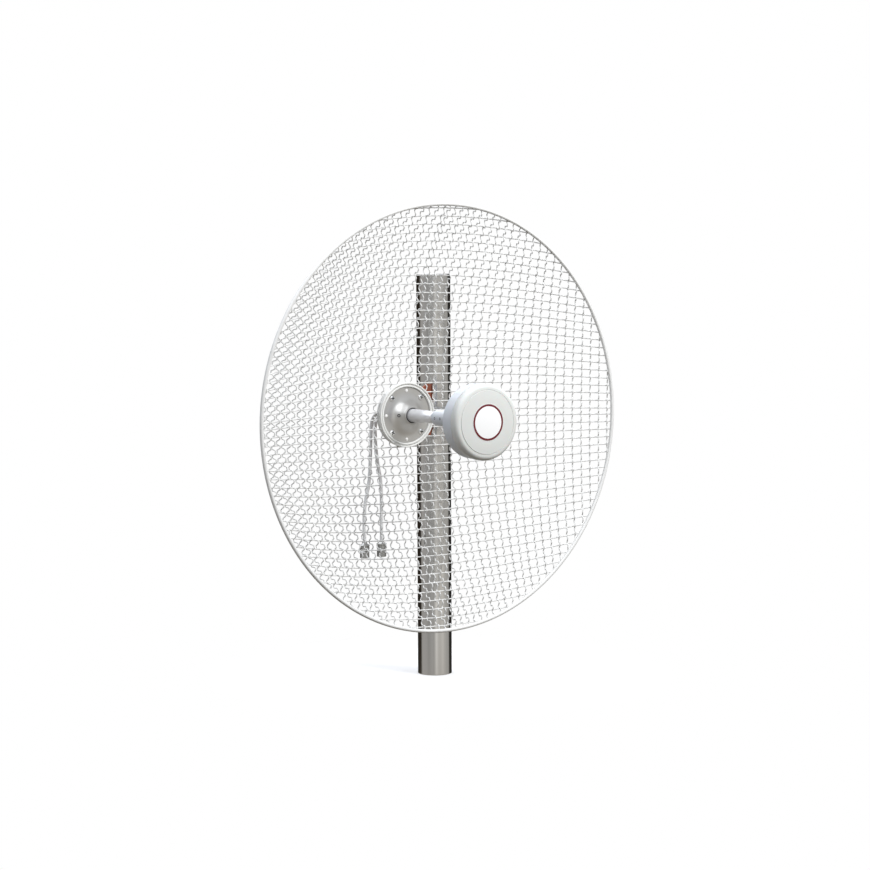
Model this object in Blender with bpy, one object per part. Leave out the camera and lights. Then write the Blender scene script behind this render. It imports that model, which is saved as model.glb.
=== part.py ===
"""Mesh parabolic dish antenna on a section of round mast, metres, +Z up, the dish faces -Y.

The origin is the middle of the mast's closed lower end. Every piece of the dish is placed from the
vertex of its paraboloid, and a station is a distance in front of that vertex along the dish axis.
"""
import math

import bmesh
import bpy
import numpy as np

# Mast
MAST_RADIUS = 0.03805
MAST_WALL = 0.003
MAST_HEIGHT = 0.897
MAST_FOOT_THICKNESS = 0.006

# Where the vertex of the dish stands, measured from the foot of the mast
VERTEX = (-0.1575, -0.115, 0.595)

# Reflector
FOCAL_LENGTH = 0.3187
RIM_RADIUS = 0.4484
RIM_TUBE_RADIUS = 0.0039
BAR_WIDTH = 0.003
BAR_PITCH = 0.0537
LINES_PER_HALF = 8
MESH_INNER_RADIUS = 0.0625

# Hub
HUB_RADIUS = 0.070
REAR_PLATE_RADIUS = 0.0680
HUB_PLATE_RADIUS = 0.0599
HUB_BORE = 0.0146
NECK_RADIUS = 0.020
PLATE_FRONT = 0.0095
NECK_FRONT = 0.0333

# Feed
ARM_ROOT_RADIUS = 0.0142
ARM_TIP_RADIUS = 0.0121
ARM_BACK = 0.0060
ARM_FRONT = 0.1250
SOCKET_RADIUS = 0.0172
SOCKET_BACK = 0.1210
SOCKET_FRONT = 0.1850
DRUM_RADIUS = 0.0774
COVER_RADIUS = 0.0790
DRUM_BACK = 0.2520
DRUM_FRONT = 0.2840
COVER_FRONT = 0.3068
LABEL_RADIUS = 0.0378

# Rear of the hub
HOUSING_BACK = -0.0440
OUTLET_RADIUS = 0.0150
OUTLET_BACK = -0.0600

# Bracket, in metres from the dish axis
BRACKET_THICKNESS = 0.0050
BRACKET_TOP = 0.0611
BRACKET_BOTTOM = -0.0510
BRACKET_LEFT = -0.0280
BRACKET_RIGHT = 0.1055
BRACKET_REACH = 0.1790
BRACKET_SLANT_START = 0.0540
BRACKET_SLANT_CLEAR = 0.0120
BRACKET_TRIM_START = 0.0400
BRACKET_TRIM_END = 0.0905
BEND_RADIUS = 0.0085
GUSSET_LEG = 0.0340
GUSSET_TOE = 0.0060
GUSSET_NOTCH = 0.0045
GUSSET_UPPER = 0.0390
GUSSET_LOWER = -0.0405
CLAMP_MIDDLE = -0.0100
CLAMP_HEIGHT = 0.0340
CLAMP_WALL = 0.0060
CLAMP_SPLIT = -0.0240
CLAMP_FLANGE_REACH = 0.0620
CLAMP_BOLT_REACH = 0.0525
CLAMP_BOLT_RISE = 0.0095
BOLT_RADIUS = 0.0031

# Cables
CABLE_RADIUS = 0.0037
GLAND_SPACING = 0.0130
GLAND_LENGTH = 0.0160
CABLE_PLANE = 0.1200
CONNECTOR_TOP = -0.2855

# Space left between pieces that meet, and how far a cutter runs past what it cuts
SEAT = 0.0003
CUTTER_MARGIN = 0.0100

# Sides given to round pieces of each size
SIDES_LARGE = 52
SIDES_MEDIUM = 36
SIDES_SMALL = 24


def clear_scene():
    """Empty the file that this script starts in."""
    for item in list(bpy.data.objects):
        bpy.data.objects.remove(item, do_unlink=True)


def material(name, colour, metallic, roughness):
    """One plain Principled material."""
    made = bpy.data.materials.new(name)
    made.use_nodes = True
    shader = made.node_tree.nodes["Principled BSDF"]
    shader.inputs["Base Color"].default_value = (*colour, 1.0)
    shader.inputs["Metallic"].default_value = metallic
    shader.inputs["Roughness"].default_value = roughness
    return made


def add_mesh(name, verts, faces, look, smooth_degrees=None):
    """Make one object from points and faces, turned so that its faces look outward."""
    mesh = bpy.data.meshes.new(name)
    points = [tuple(float(number) for number in point) for point in verts]
    mesh.from_pydata(points, [], [tuple(face) for face in faces])
    work = bmesh.new()
    work.from_mesh(mesh)
    bmesh.ops.recalc_face_normals(work, faces=work.faces)
    work.to_mesh(mesh)
    work.free()
    made = bpy.data.objects.new(name, mesh)
    bpy.context.scene.collection.objects.link(made)
    made.data.materials.append(look)
    if smooth_degrees is not None:
        shade_by_angle(made, smooth_degrees)
    return made


def shade_by_angle(item, degrees):
    """Smooth every face and keep the edges sharper than the angle."""
    mesh = item.data
    mesh.polygons.foreach_set("use_smooth", [True] * len(mesh.polygons))
    work = bmesh.new()
    work.from_mesh(mesh)
    for edge in work.edges:
        if len(edge.link_faces) == 2:
            edge.smooth = edge.calc_face_angle(0.0) < math.radians(degrees)
    work.to_mesh(mesh)
    work.free()


def dish_point(across, station, height):
    """Turn dish coordinates into metres from the foot of the mast."""
    return (VERTEX[0] + across, VERTEX[1] - station, VERTEX[2] + height)


def lathe(name, profile, look, segments=SIDES_LARGE, closed=False, axis="dish", centre=(0.0, 0.0, 0.0),
          smooth_degrees=35):
    """Turn a profile of (radius, distance) pairs round the dish axis, +Z or +X.

    An open profile starts and ends on the axis. A closed one is a loop that never touches it.
    """
    verts = []
    rings = []
    for radius, distance in profile:
        if radius < 1e-7:
            rings.append([len(verts)])
            verts.append(place(0.0, 0.0, distance, axis, centre))
            continue
        ring = []
        for step in range(segments):
            turn = 2.0 * math.pi * step / segments
            ring.append(len(verts))
            verts.append(place(radius * math.cos(turn), radius * math.sin(turn), distance, axis,
                               centre))
        rings.append(ring)
    pairs = list(zip(rings[:-1], rings[1:]))
    if closed:
        pairs.append((rings[-1], rings[0]))
    faces = []
    for low, high in pairs:
        for step in range(segments):
            after = (step + 1) % segments
            if len(low) == 1:
                faces.append((low[0], high[step], high[after]))
            elif len(high) == 1:
                faces.append((low[step], high[0], low[after]))
            else:
                faces.append((low[step], high[step], high[after], low[after]))
    return add_mesh(name, verts, faces, look, smooth_degrees)


def place(side, rise, distance, axis, centre):
    """Set a turned point along the chosen axis."""
    if axis == "dish":
        return dish_point(centre[0] + side, centre[1] + distance, centre[2] + rise)
    if axis == "x":
        return (centre[0] + distance, centre[1] + side, centre[2] + rise)
    return (centre[0] + side, centre[1] + rise, centre[2] + distance)


def prism(name, outline, low, high, look, axis="z"):
    """Raise a flat outline, given in the other two axes, to a solid between two places on one axis."""
    count = len(outline)
    turn = {
        "x": lambda first, second, along: (along, first, second),
        "y": lambda first, second, along: (first, along, second),
        "z": lambda first, second, along: (first, second, along),
    }[axis]
    verts = [turn(*corner, along) for along in (low, high) for corner in outline]
    faces = [tuple(range(count)), tuple(range(count, 2 * count))[::-1]]
    for here in range(count):
        after = (here + 1) % count
        faces.append((here, here + count, after + count, after))
    return add_mesh(name, verts, faces, look)


def cut(item, cutter, label):
    """Take one closed solid out of another with an exact Boolean."""
    step = item.modifiers.new(label, "BOOLEAN")
    step.operation = "DIFFERENCE"
    step.solver = "EXACT"
    step.object = cutter
    cutter.hide_render = True
    cutter.display_type = "WIRE"


def dish_depth(across, height):
    """How far the paraboloid stands in front of its vertex."""
    return (across * across + height * height) / (4.0 * FOCAL_LENGTH)


def build_mast(steel):
    """Round tube, open above and closed by a welded disc below."""
    inner = MAST_RADIUS - MAST_WALL
    profile = [
        (0.0, 0.0),
        (MAST_RADIUS, 0.0),
        (MAST_RADIUS, MAST_HEIGHT - 0.0008),
        (MAST_RADIUS - 0.0008, MAST_HEIGHT),
        (inner + 0.0006, MAST_HEIGHT),
        (inner, MAST_HEIGHT - 0.0006),
        (inner, MAST_FOOT_THICKNESS),
        (0.0, MAST_FOOT_THICKNESS),
    ]
    lathe("mast_tube", profile, steel, axis="z")


def build_rim(white):
    """Round ring that closes the edge of the reflector."""
    station = dish_depth(RIM_RADIUS, 0.0)
    profile = []
    sides = 8
    for step in range(sides):
        turn = 2.0 * math.pi * (step + 0.5) / sides
        profile.append((RIM_RADIUS + RIM_TUBE_RADIUS * math.cos(turn),
                        station + RIM_TUBE_RADIUS * math.sin(turn)))
    lathe("rim_ring", profile, white, segments=2 * SIDES_LARGE - 8, closed=True, smooth_degrees=60)


def grid_lines():
    """Distances from the axis of the bars in one quarter of the reflector."""
    return [(index + 0.5) * BAR_PITCH for index in range(LINES_PER_HALF)]


def build_panel(name, side, rise, look):
    """One quarter of the lattice: square bars fused where they cross, as one closed mesh."""
    outer = RIM_RADIUS - RIM_TUBE_RADIUS - SEAT
    lines = grid_lines()
    half = BAR_WIDTH / 2.0
    kept = set()
    for column, across in enumerate(lines):
        for row, height in enumerate(lines):
            distance = math.hypot(across, height)
            if MESH_INNER_RADIUS + BAR_WIDTH < distance < outer - BAR_WIDTH:
                kept.add((column, row))
    verts = []
    faces = []

    def corner(across, height):
        """Two points, behind and in front of the surface, at one corner of a bar."""
        depth = dish_depth(across, height)
        first = len(verts)
        verts.append(dish_point(side * across, depth - half, rise * height))
        verts.append(dish_point(side * across, depth + half, rise * height))
        return first

    def square(column, row):
        """Corner points of one crossing, in order round it."""
        across = lines[column]
        height = lines[row]
        return [corner(across - half, height - half), corner(across + half, height - half),
                corner(across + half, height + half), corner(across - half, height + half)]

    def wall(first, second):
        """Side face between two corners."""
        faces.append((first, second, second + 1, first + 1))

    def run(start, end):
        """Bar between two pairs of corners, given in the same order."""
        near_left, near_right = start
        far_left, far_right = end
        faces.append((near_left, far_left, far_right, near_right))
        faces.append((near_left + 1, near_right + 1, far_right + 1, far_left + 1))
        wall(near_left, far_left)
        wall(far_right, near_right)

    squares = {key: square(*key) for key in kept}
    for points in squares.values():
        faces.append(tuple(reversed(points)))
        faces.append(tuple(point + 1 for point in points))
    for (column, row), points in squares.items():
        low_left, low_right, high_right, high_left = points
        across = lines[column]
        height = lines[row]
        if (column + 1, row) in squares:
            other = squares[(column + 1, row)]
            run((low_right, high_right), (other[0], other[3]))
        else:
            ends = [corner(math.sqrt(outer ** 2 - (height + shift) ** 2), height + shift)
                    for shift in (-half, half)]
            run((low_right, high_right), (ends[0], ends[1]))
            wall(ends[0], ends[1])
        if (column, row + 1) in squares:
            other = squares[(column, row + 1)]
            run((high_right, high_left), (other[1], other[0]))
        else:
            ends = [corner(across + shift, math.sqrt(outer ** 2 - (across + shift) ** 2))
                    for shift in (half, -half)]
            run((high_right, high_left), (ends[0], ends[1]))
            wall(ends[0], ends[1])
        if (column - 1, row) not in squares:
            start = SEAT / 2.0 if height > MESH_INNER_RADIUS + half else None
            stops = [start if start else math.sqrt(MESH_INNER_RADIUS ** 2 - (height + shift) ** 2)
                     for shift in (half, -half)]
            ends = [corner(stops[0], height + half), corner(stops[1], height - half)]
            run((high_left, low_left), (ends[0], ends[1]))
            wall(ends[0], ends[1])
        if (column, row - 1) not in squares:
            start = SEAT / 2.0 if across > MESH_INNER_RADIUS + half else None
            stops = [start if start else math.sqrt(MESH_INNER_RADIUS ** 2 - (across + shift) ** 2)
                     for shift in (-half, half)]
            ends = [corner(across - half, stops[0]), corner(across + half, stops[1])]
            run((low_left, low_right), (ends[0], ends[1]))
            wall(ends[0], ends[1])
    add_mesh(name, verts, faces, look)


def build_hub(white, silver):
    """Front ring, plate with its trumpet boss, plate behind the mesh and the rear housing.

    The ring has a raised lip, then two beads with a groove beside each, from the outside in.
    """
    inside = HUB_PLATE_RADIUS + SEAT
    groove = 0.0112
    ring = [
        (inside, 0.0055),
        (HUB_RADIUS, 0.0055),
        (HUB_RADIUS, 0.0135),
        (HUB_RADIUS - 0.0008, 0.0143),
        (0.0670, 0.0128),
        (0.0664, groove),
        (0.0655, groove),
        (0.0650, 0.0126),
        (0.0640, 0.0128),
        (0.0632, groove),
        (0.0625, groove),
        (0.0620, 0.0122),
        (0.0606, 0.0124),
        (inside, 0.0115),
    ]
    lathe("hub_front_ring", ring, white, closed=True)
    plate = [
        (HUB_BORE, 0.0012),
        (HUB_PLATE_RADIUS, 0.0012),
        (HUB_PLATE_RADIUS, PLATE_FRONT),
        (0.0480, PLATE_FRONT),
        (0.0420, 0.0101),
        (0.0360, 0.0120),
        (0.0310, 0.0148),
        (0.0270, 0.0185),
        (0.0238, 0.0228),
        (0.0215, 0.0272),
        (0.0203, 0.0310),
        (NECK_RADIUS, 0.0325),
        (0.0192, NECK_FRONT),
        (0.0150, NECK_FRONT),
        (HUB_BORE, 0.0328),
    ]
    lathe("hub_plate", plate, silver, closed=True)
    backing = [
        (HUB_BORE, 0.0009),
        (REAR_PLATE_RADIUS, 0.0009),
        (REAR_PLATE_RADIUS, -0.0042),
        (REAR_PLATE_RADIUS - 0.0008, -0.0050),
        (HUB_BORE, -0.0050),
    ]
    lathe("hub_rear_plate", backing, white, closed=True)
    opening = OUTLET_RADIUS + SEAT
    housing = [
        (0.0365, -0.0053),
        (0.0440, -0.0053),
        (0.0440, -0.0092),
        (0.0432, -0.0100),
        (0.0405, -0.0105),
        (0.0392, -0.0120),
        (0.0315, HOUSING_BACK + 0.0014),
        (0.0300, HOUSING_BACK),
        (opening, HOUSING_BACK),
        (opening, HOUSING_BACK + 0.0050),
        (0.0262, HOUSING_BACK + 0.0050),
    ]
    lathe("hub_rear_housing", housing, silver, segments=SIDES_MEDIUM, closed=True)


def build_feed(silver, plastic, white, paper):
    """Tapered arm, socket, cone behind the drum, drum, cover and the round label."""
    arm_bore = 0.0100
    arm = [
        (arm_bore, ARM_BACK),
        (ARM_ROOT_RADIUS, ARM_BACK),
        (ARM_ROOT_RADIUS, 0.0400),
        (ARM_TIP_RADIUS + 0.0006, 0.0850),
        (ARM_TIP_RADIUS, 0.1050),
        (ARM_TIP_RADIUS, ARM_FRONT),
        (arm_bore, ARM_FRONT),
    ]
    lathe("feed_arm_tube", arm, silver, segments=SIDES_MEDIUM, closed=True)
    sleeve = ARM_TIP_RADIUS + SEAT
    socket = [
        (0.0, ARM_FRONT + SEAT),
        (sleeve, ARM_FRONT + SEAT),
        (sleeve, SOCKET_BACK),
        (0.0134, SOCKET_BACK),
        (0.0148, SOCKET_BACK + 0.0012),
        (0.0163, SOCKET_BACK + 0.0048),
        (0.0170, SOCKET_BACK + 0.0090),
        (SOCKET_RADIUS, SOCKET_BACK + 0.0120),
        (SOCKET_RADIUS, SOCKET_FRONT),
        (0.0, SOCKET_FRONT),
    ]
    lathe("feed_socket", socket, plastic, segments=SIDES_MEDIUM)
    cone = [
        (0.0, SOCKET_FRONT + SEAT),
        (0.0205, SOCKET_FRONT + SEAT),
        (0.0212, SOCKET_FRONT + 0.0020),
        (0.0240, SOCKET_FRONT + 0.0120),
        (0.0330, SOCKET_FRONT + 0.0330),
        (0.0500, SOCKET_FRONT + 0.0530),
        (0.0640, SOCKET_FRONT + 0.0620),
        (0.0700, DRUM_BACK - SEAT),
        (0.0, DRUM_BACK - SEAT),
    ]
    lathe("feed_back_cone", cone, plastic, segments=SIDES_MEDIUM)
    drum_wall = 0.0026
    flared = COVER_RADIUS - 0.0006
    drum = [
        (0.0, DRUM_BACK),
        (0.0735, DRUM_BACK),
        (0.0762, DRUM_BACK + 0.0010),
        (DRUM_RADIUS, DRUM_BACK + 0.0040),
        (flared, DRUM_FRONT),
        (flared - drum_wall, DRUM_FRONT),
        (DRUM_RADIUS - drum_wall, DRUM_BACK + 0.0040),
        (0.0, DRUM_BACK + 0.0040),
    ]
    lathe("radome_drum", drum, plastic)
    cover = [
        (0.0, DRUM_FRONT + SEAT),
        (flared, DRUM_FRONT + SEAT),
        (COVER_RADIUS, DRUM_FRONT + 0.0020),
        (COVER_RADIUS, DRUM_FRONT + 0.0112),
        (0.0786, DRUM_FRONT + 0.0134),
        (0.0773, DRUM_FRONT + 0.0153),
        (0.0751, DRUM_FRONT + 0.0169),
        (0.0718, DRUM_FRONT + 0.0180),
        (0.0672, DRUM_FRONT + 0.0187),
        (0.0668, DRUM_FRONT + 0.0181),
        (0.0660, DRUM_FRONT + 0.0181),
        (0.0656, DRUM_FRONT + 0.0192),
        (0.0560, DRUM_FRONT + 0.0211),
        (0.0450, DRUM_FRONT + 0.0223),
        (0.0384, COVER_FRONT),
        (0.0, COVER_FRONT),
    ]
    lathe("radome_cover", cover, white)
    label = [
        (0.0, COVER_FRONT + SEAT),
        (LABEL_RADIUS, COVER_FRONT + SEAT),
        (LABEL_RADIUS, COVER_FRONT + 0.0007),
        (0.0, COVER_FRONT + 0.0007),
    ]
    lathe("label_disc", label, paper, segments=SIDES_MEDIUM)


def build_bracket(primer, steel, zinc):
    """Bent plate from the housing to the mast, its gussets and the clamp with four bolts."""
    back = VERTEX[1] - HOUSING_BACK + SEAT
    left = VERTEX[0] + BRACKET_LEFT
    right = VERTEX[0] + BRACKET_RIGHT
    reach = VERTEX[1] + BRACKET_REACH
    low = VERTEX[2] + BRACKET_BOTTOM
    high = VERTEX[2] + BRACKET_TOP
    outer = bend_points(right, back, BEND_RADIUS)
    inner = bend_points(right - BRACKET_THICKNESS, back + BRACKET_THICKNESS, BEND_RADIUS - BRACKET_THICKNESS)
    outline = [(left, back), *outer, (right, reach), (right - BRACKET_THICKNESS, reach), *inner[::-1],
               (left, back + BRACKET_THICKNESS)]
    angle = prism("bracket_angle", outline, low, high, primer)
    keep = -BRACKET_LEFT
    beyond = 2.0 * CUTTER_MARGIN
    touch = 0.0005
    slant_start = VERTEX[1] + BRACKET_SLANT_START
    for label, edge in (("upper", BRACKET_TOP), ("lower", BRACKET_BOTTOM)):
        away = math.copysign(1.0, edge)
        over = VERTEX[2] + edge + away * beyond
        corner = [
            (left - CUTTER_MARGIN, VERTEX[2] + away * keep),
            (VERTEX[0] + BRACKET_TRIM_START, VERTEX[2] + away * keep),
            (VERTEX[0] + BRACKET_TRIM_END, VERTEX[2] + edge + away * touch),
            (VERTEX[0] + BRACKET_TRIM_END, over),
            (left - CUTTER_MARGIN, over),
        ]
        cutter = prism("trim_" + label, corner, back - CUTTER_MARGIN, back + CUTTER_MARGIN, primer, "y")
        cut(angle, cutter, "trim " + label)
        clear = CLAMP_HEIGHT / 2.0 + BRACKET_SLANT_CLEAR
        heel = [
            (slant_start, VERTEX[2] + edge + away * touch),
            (reach + 2.0 * touch, VERTEX[2] + CLAMP_MIDDLE + away * clear),
            (reach + CUTTER_MARGIN, over),
            (slant_start, over),
        ]
        cutter = prism("heel_" + label, heel, right - CUTTER_MARGIN, right + CUTTER_MARGIN, primer, "x")
        cut(angle, cutter, "heel " + label)
    hole = [
        (0.0, HOUSING_BACK + CUTTER_MARGIN),
        (OUTLET_RADIUS + 2.0 * SEAT, HOUSING_BACK + CUTTER_MARGIN),
        (OUTLET_RADIUS + 2.0 * SEAT, HOUSING_BACK - CUTTER_MARGIN),
        (0.0, HOUSING_BACK - CUTTER_MARGIN),
    ]
    cut(angle, lathe("outlet_hole", hole, primer, segments=SIDES_MEDIUM), "outlet hole")

    inner_x = right - BRACKET_THICKNESS - SEAT
    inner_y = back + BRACKET_THICKNESS + SEAT
    for label, height in (("upper", GUSSET_UPPER), ("lower", GUSSET_LOWER)):
        outline = [
            (inner_x, inner_y + GUSSET_NOTCH),
            (inner_x, inner_y + GUSSET_LEG),
            (inner_x - GUSSET_TOE, inner_y + GUSSET_LEG),
            (inner_x - GUSSET_LEG, inner_y + GUSSET_TOE),
            (inner_x - GUSSET_LEG, inner_y),
            (inner_x - GUSSET_NOTCH, inner_y),
        ]
        base = VERTEX[2] + height
        prism("gusset_" + label, outline, base, base + BRACKET_THICKNESS, primer)

    clamp_low = VERTEX[2] + CLAMP_MIDDLE - CLAMP_HEIGHT / 2.0
    clamp_high = clamp_low + CLAMP_HEIGHT
    grip = MAST_RADIUS + SEAT
    split = CLAMP_SPLIT
    saddle = arc_outline(right + SEAT, split, grip)
    block = prism("clamp_saddle", saddle, clamp_low, clamp_high, steel)
    strap = prism("clamp_strap", strap_outline(split + SEAT, grip), clamp_low, clamp_high, steel)
    shade_by_angle(block, 30)
    shade_by_angle(strap, 30)

    nut_face = right - BRACKET_THICKNESS - SEAT
    head_face = split + SEAT + CLAMP_WALL + SEAT
    for side_label, side in (("front", -1.0), ("back", 1.0)):
        for rise_label, rise in (("upper", 1.0), ("lower", -1.0)):
            centre = (0.0, side * CLAMP_BOLT_REACH,
                      VERTEX[2] + CLAMP_MIDDLE + rise * CLAMP_BOLT_RISE)
            label = side_label + "_" + rise_label
            for piece in (angle, block, strap):
                start = nut_face - 2.0 * CUTTER_MARGIN
                end = head_face + 2.0 * CUTTER_MARGIN
                bore = [(0.0, start), (BOLT_RADIUS + SEAT, start), (BOLT_RADIUS + SEAT, end), (0.0, end)]
                cutter = lathe("bore_" + label + "_" + piece.name, bore, steel, segments=SIDES_SMALL,
                               axis="x", centre=centre)
                cut(piece, cutter, "bolt " + label)
            clamp_bolt("clamp_bolt_" + label, nut_face, head_face, centre, zinc)


def bend_points(right, back, radius):
    """Quarter circle that turns a plate's face at X = right away from the one at Y = back."""
    steps = 4
    turns = [math.pi / 2.0 * step / steps for step in range(steps + 1)]
    return [(right - radius + radius * math.sin(turn), back + radius - radius * math.cos(turn))
            for turn in turns]


def arc_outline(flat, split, grip):
    """Saddle block seen from above: flat against the bracket, hollowed to the mast."""
    reach = CLAMP_FLANGE_REACH
    half_angle = math.acos(-split / grip)
    points = [(flat, -reach), (split, -reach)]
    steps = 16
    for step in range(steps + 1):
        turn = math.pi - half_angle + 2.0 * half_angle * step / steps
        points.append((grip * math.cos(turn), -grip * math.sin(turn)))
    points += [(split, reach), (flat, reach)]
    return points


def strap_outline(split, grip):
    """Strap seen from above: two flanges joined by a half ring round the mast."""
    reach = CLAMP_FLANGE_REACH
    outer = grip + CLAMP_WALL
    face = split + CLAMP_WALL
    inner_angle = math.acos(split / grip)
    outer_angle = math.acos(face / outer)
    points = [(split, -reach)]
    steps = 24
    for step in range(steps + 1):
        turn = -inner_angle + 2.0 * inner_angle * step / steps
        points.append((grip * math.cos(turn), grip * math.sin(turn)))
    points += [(split, reach), (face, reach)]
    for step in range(steps + 1):
        turn = outer_angle - 2.0 * outer_angle * step / steps
        points.append((outer * math.cos(turn), outer * math.sin(turn)))
    points.append((face, -reach))
    return points


def clamp_bolt(name, nut_face, head_face, centre, look):
    """Bolt with its shank, six-sided head and six-sided nut as one solid along X."""
    segments = SIDES_SMALL
    flat = 0.0050
    nut_depth = 0.0050
    head_depth = 0.0042
    thread_end = 0.0085
    verts = []
    faces = []

    def ring(radius_at, distance):
        """Points round the bolt at one distance."""
        first = len(verts)
        for step in range(segments):
            turn = 2.0 * math.pi * step / segments
            radius = radius_at(turn)
            verts.append((distance, centre[1] + radius * math.cos(turn),
                          centre[2] + radius * math.sin(turn)))
        return first

    def hexagon(turn):
        """Radius of a hexagon in one direction."""
        within = (turn + math.pi / 6.0) % (math.pi / 3.0) - math.pi / 6.0
        return flat / math.cos(within)

    def shank(turn):
        """Radius of the shank."""
        return BOLT_RADIUS

    stations = [
        (shank, nut_face - thread_end),
        (shank, nut_face - nut_depth),
        (hexagon, nut_face - nut_depth),
        (hexagon, nut_face),
        (shank, nut_face),
        (shank, head_face),
        (hexagon, head_face),
        (hexagon, head_face + head_depth),
    ]
    starts = [ring(shape, distance) for shape, distance in stations]
    for low, high in zip(starts[:-1], starts[1:]):
        for step in range(segments):
            after = (step + 1) % segments
            faces.append((low + step, high + step, high + after, low + after))
    faces.append(tuple(range(starts[0], starts[0] + segments)))
    faces.append(tuple(range(starts[-1], starts[-1] + segments))[::-1])
    add_mesh(name, verts, faces, look, smooth_degrees=20)


def build_outlet(black, zinc):
    """Round bush behind the housing and the two cable glands on it."""
    front = HOUSING_BACK + 0.0050
    bush = [
        (0.0, front + 0.0030),
        (OUTLET_RADIUS - 0.0010, front + 0.0030),
        (OUTLET_RADIUS, front + 0.0020),
        (OUTLET_RADIUS, OUTLET_BACK + 0.0010),
        (OUTLET_RADIUS - 0.0010, OUTLET_BACK),
        (0.0, OUTLET_BACK),
    ]
    lathe("outlet_bush", bush, black, segments=SIDES_MEDIUM)
    start = OUTLET_BACK - SEAT
    gland = [
        (0.0, start),
        (0.0062, start),
        (0.0062, start - 0.0070),
        (0.0056, start - 0.0076),
        (0.0056, start - 0.0130),
        (0.0048, start - GLAND_LENGTH),
        (0.0, start - GLAND_LENGTH),
    ]
    for label, side in (("left", -1.0), ("right", 1.0)):
        centre = (side * GLAND_SPACING / 2.0, 0.0, 0.0)
        lathe("cable_gland_" + label, gland, zinc, segments=SIDES_SMALL, centre=centre)


def smooth_path(points, spacing):
    """Even points on a smooth curve through a few hand-chosen ones."""
    points = np.array(points, dtype=float)
    padded = np.vstack([2 * points[0] - points[1], points, 2 * points[-1] - points[-2]])
    dense = []
    for index in range(1, len(padded) - 2):
        before, here, after, beyond = padded[index - 1:index + 3]
        for step in range(40):
            t = step / 40.0
            dense.append(0.5 * (2 * here + (after - before) * t
                                + (2 * before - 5 * here + 4 * after - beyond) * t ** 2
                                + (3 * here - before - 3 * after + beyond) * t ** 3))
    dense.append(points[-1])
    dense = np.array(dense)
    travelled = np.concatenate([[0.0], np.cumsum(np.linalg.norm(np.diff(dense, axis=0), axis=1))])
    count = max(2, int(round(travelled[-1] / spacing)) + 1)
    wanted = np.linspace(0.0, travelled[-1], count)
    return np.stack([np.interp(wanted, travelled, dense[:, axis]) for axis in range(3)], axis=1)


def cable_route(side):
    """Hand-chosen points of one pigtail in dish coordinates: across, behind, height."""
    start = -(OUTLET_BACK - GLAND_LENGTH - 2.0 * SEAT)
    if side < 0:
        return [
            (-0.0065, start, 0.0),
            (-0.0065, 0.0840, 0.0),
            (-0.0066, 0.0970, -0.0025),
            (-0.0066, 0.1100, -0.0110),
            (-0.0066, 0.1170, -0.0220),
            (-0.0068, 0.1198, -0.0350),
            (-0.0074, CABLE_PLANE, -0.0540),
            (-0.0084, CABLE_PLANE, -0.0760),
            (-0.0093, CABLE_PLANE, -0.0990),
            (-0.0104, CABLE_PLANE, -0.1210),
            (-0.0142, CABLE_PLANE, -0.1600),
            (-0.0222, CABLE_PLANE, -0.1940),
            (-0.0262, CABLE_PLANE, -0.2300),
            (-0.0266, CABLE_PLANE, -0.2600),
            (-0.0258, CABLE_PLANE, -0.2750),
            (-0.0258, CABLE_PLANE, CONNECTOR_TOP + SEAT),
        ]
    return [
        (0.0065, start, 0.0),
        (0.0065, 0.0860, -0.0005),
        (0.0060, 0.0990, -0.0035),
        (0.0052, 0.1100, -0.0110),
        (0.0044, 0.1170, -0.0220),
        (0.0038, 0.1198, -0.0370),
        (0.0041, CABLE_PLANE, -0.0560),
        (0.0050, CABLE_PLANE, -0.0766),
        (0.0076, CABLE_PLANE, -0.0985),
        (0.0110, CABLE_PLANE, -0.1200),
        (0.0172, CABLE_PLANE, -0.1510),
        (0.0193, CABLE_PLANE, -0.1900),
        (0.0192, CABLE_PLANE, -0.2180),
        (0.0190, CABLE_PLANE, -0.2460),
        (0.0188, CABLE_PLANE, -0.2680),
        (0.0187, CABLE_PLANE, CONNECTOR_TOP + SEAT),
    ]


def build_cable(name, side, look):
    """Pigtail as a filled tube along its route."""
    route = [dish_point(across, -behind, height) for across, behind, height in cable_route(side)]
    path = smooth_path(route, CABLE_RADIUS * 2.4)
    curve = bpy.data.curves.new(name, "CURVE")
    curve.dimensions = "3D"
    curve.bevel_depth = CABLE_RADIUS
    curve.bevel_resolution = 3
    curve.use_fill_caps = True
    curve.resolution_u = 1
    spline = curve.splines.new("POLY")
    spline.points.add(len(path) - 1)
    for point, where in zip(spline.points, path):
        point.co = (*where, 1.0)
    spline.use_smooth = True
    made = bpy.data.objects.new(name, curve)
    bpy.context.scene.collection.objects.link(made)
    made.data.materials.append(look)


def build_connector(label, side, zinc):
    """Coaxial connector below a pigtail: crimped body above, coupling sleeve below."""
    across, behind, _ = cable_route(side)[-1]
    centre = (VERTEX[0] + across, VERTEX[1] + behind, VERTEX[2] + CONNECTOR_TOP)
    body = [
        (0.0, 0.0),
        (0.0052, 0.0),
        (0.0056, -0.0006),
        (0.0056, -0.0050),
        (0.0104, -0.0056),
        (0.0112, -0.0068),
        (0.0112, -0.0186),
        (0.0104, -0.0198),
        (0.0, -0.0198),
    ]
    lathe("connector_body_" + label, body, zinc, segments=SIDES_SMALL, axis="z", centre=centre)
    sleeve = [
        (0.0, -0.0201),
        (0.0084, -0.0201),
        (0.0088, -0.0207),
        (0.0100, -0.0216),
        (0.0104, -0.0230),
        (0.0104, -0.0348),
        (0.0098, -0.0358),
        (0.0082, -0.0358),
        (0.0080, -0.0352),
        (0.0080, -0.0230),
        (0.0, -0.0230),
    ]
    lathe("connector_sleeve_" + label, sleeve, zinc, segments=SIDES_SMALL, axis="z", centre=centre)


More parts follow.
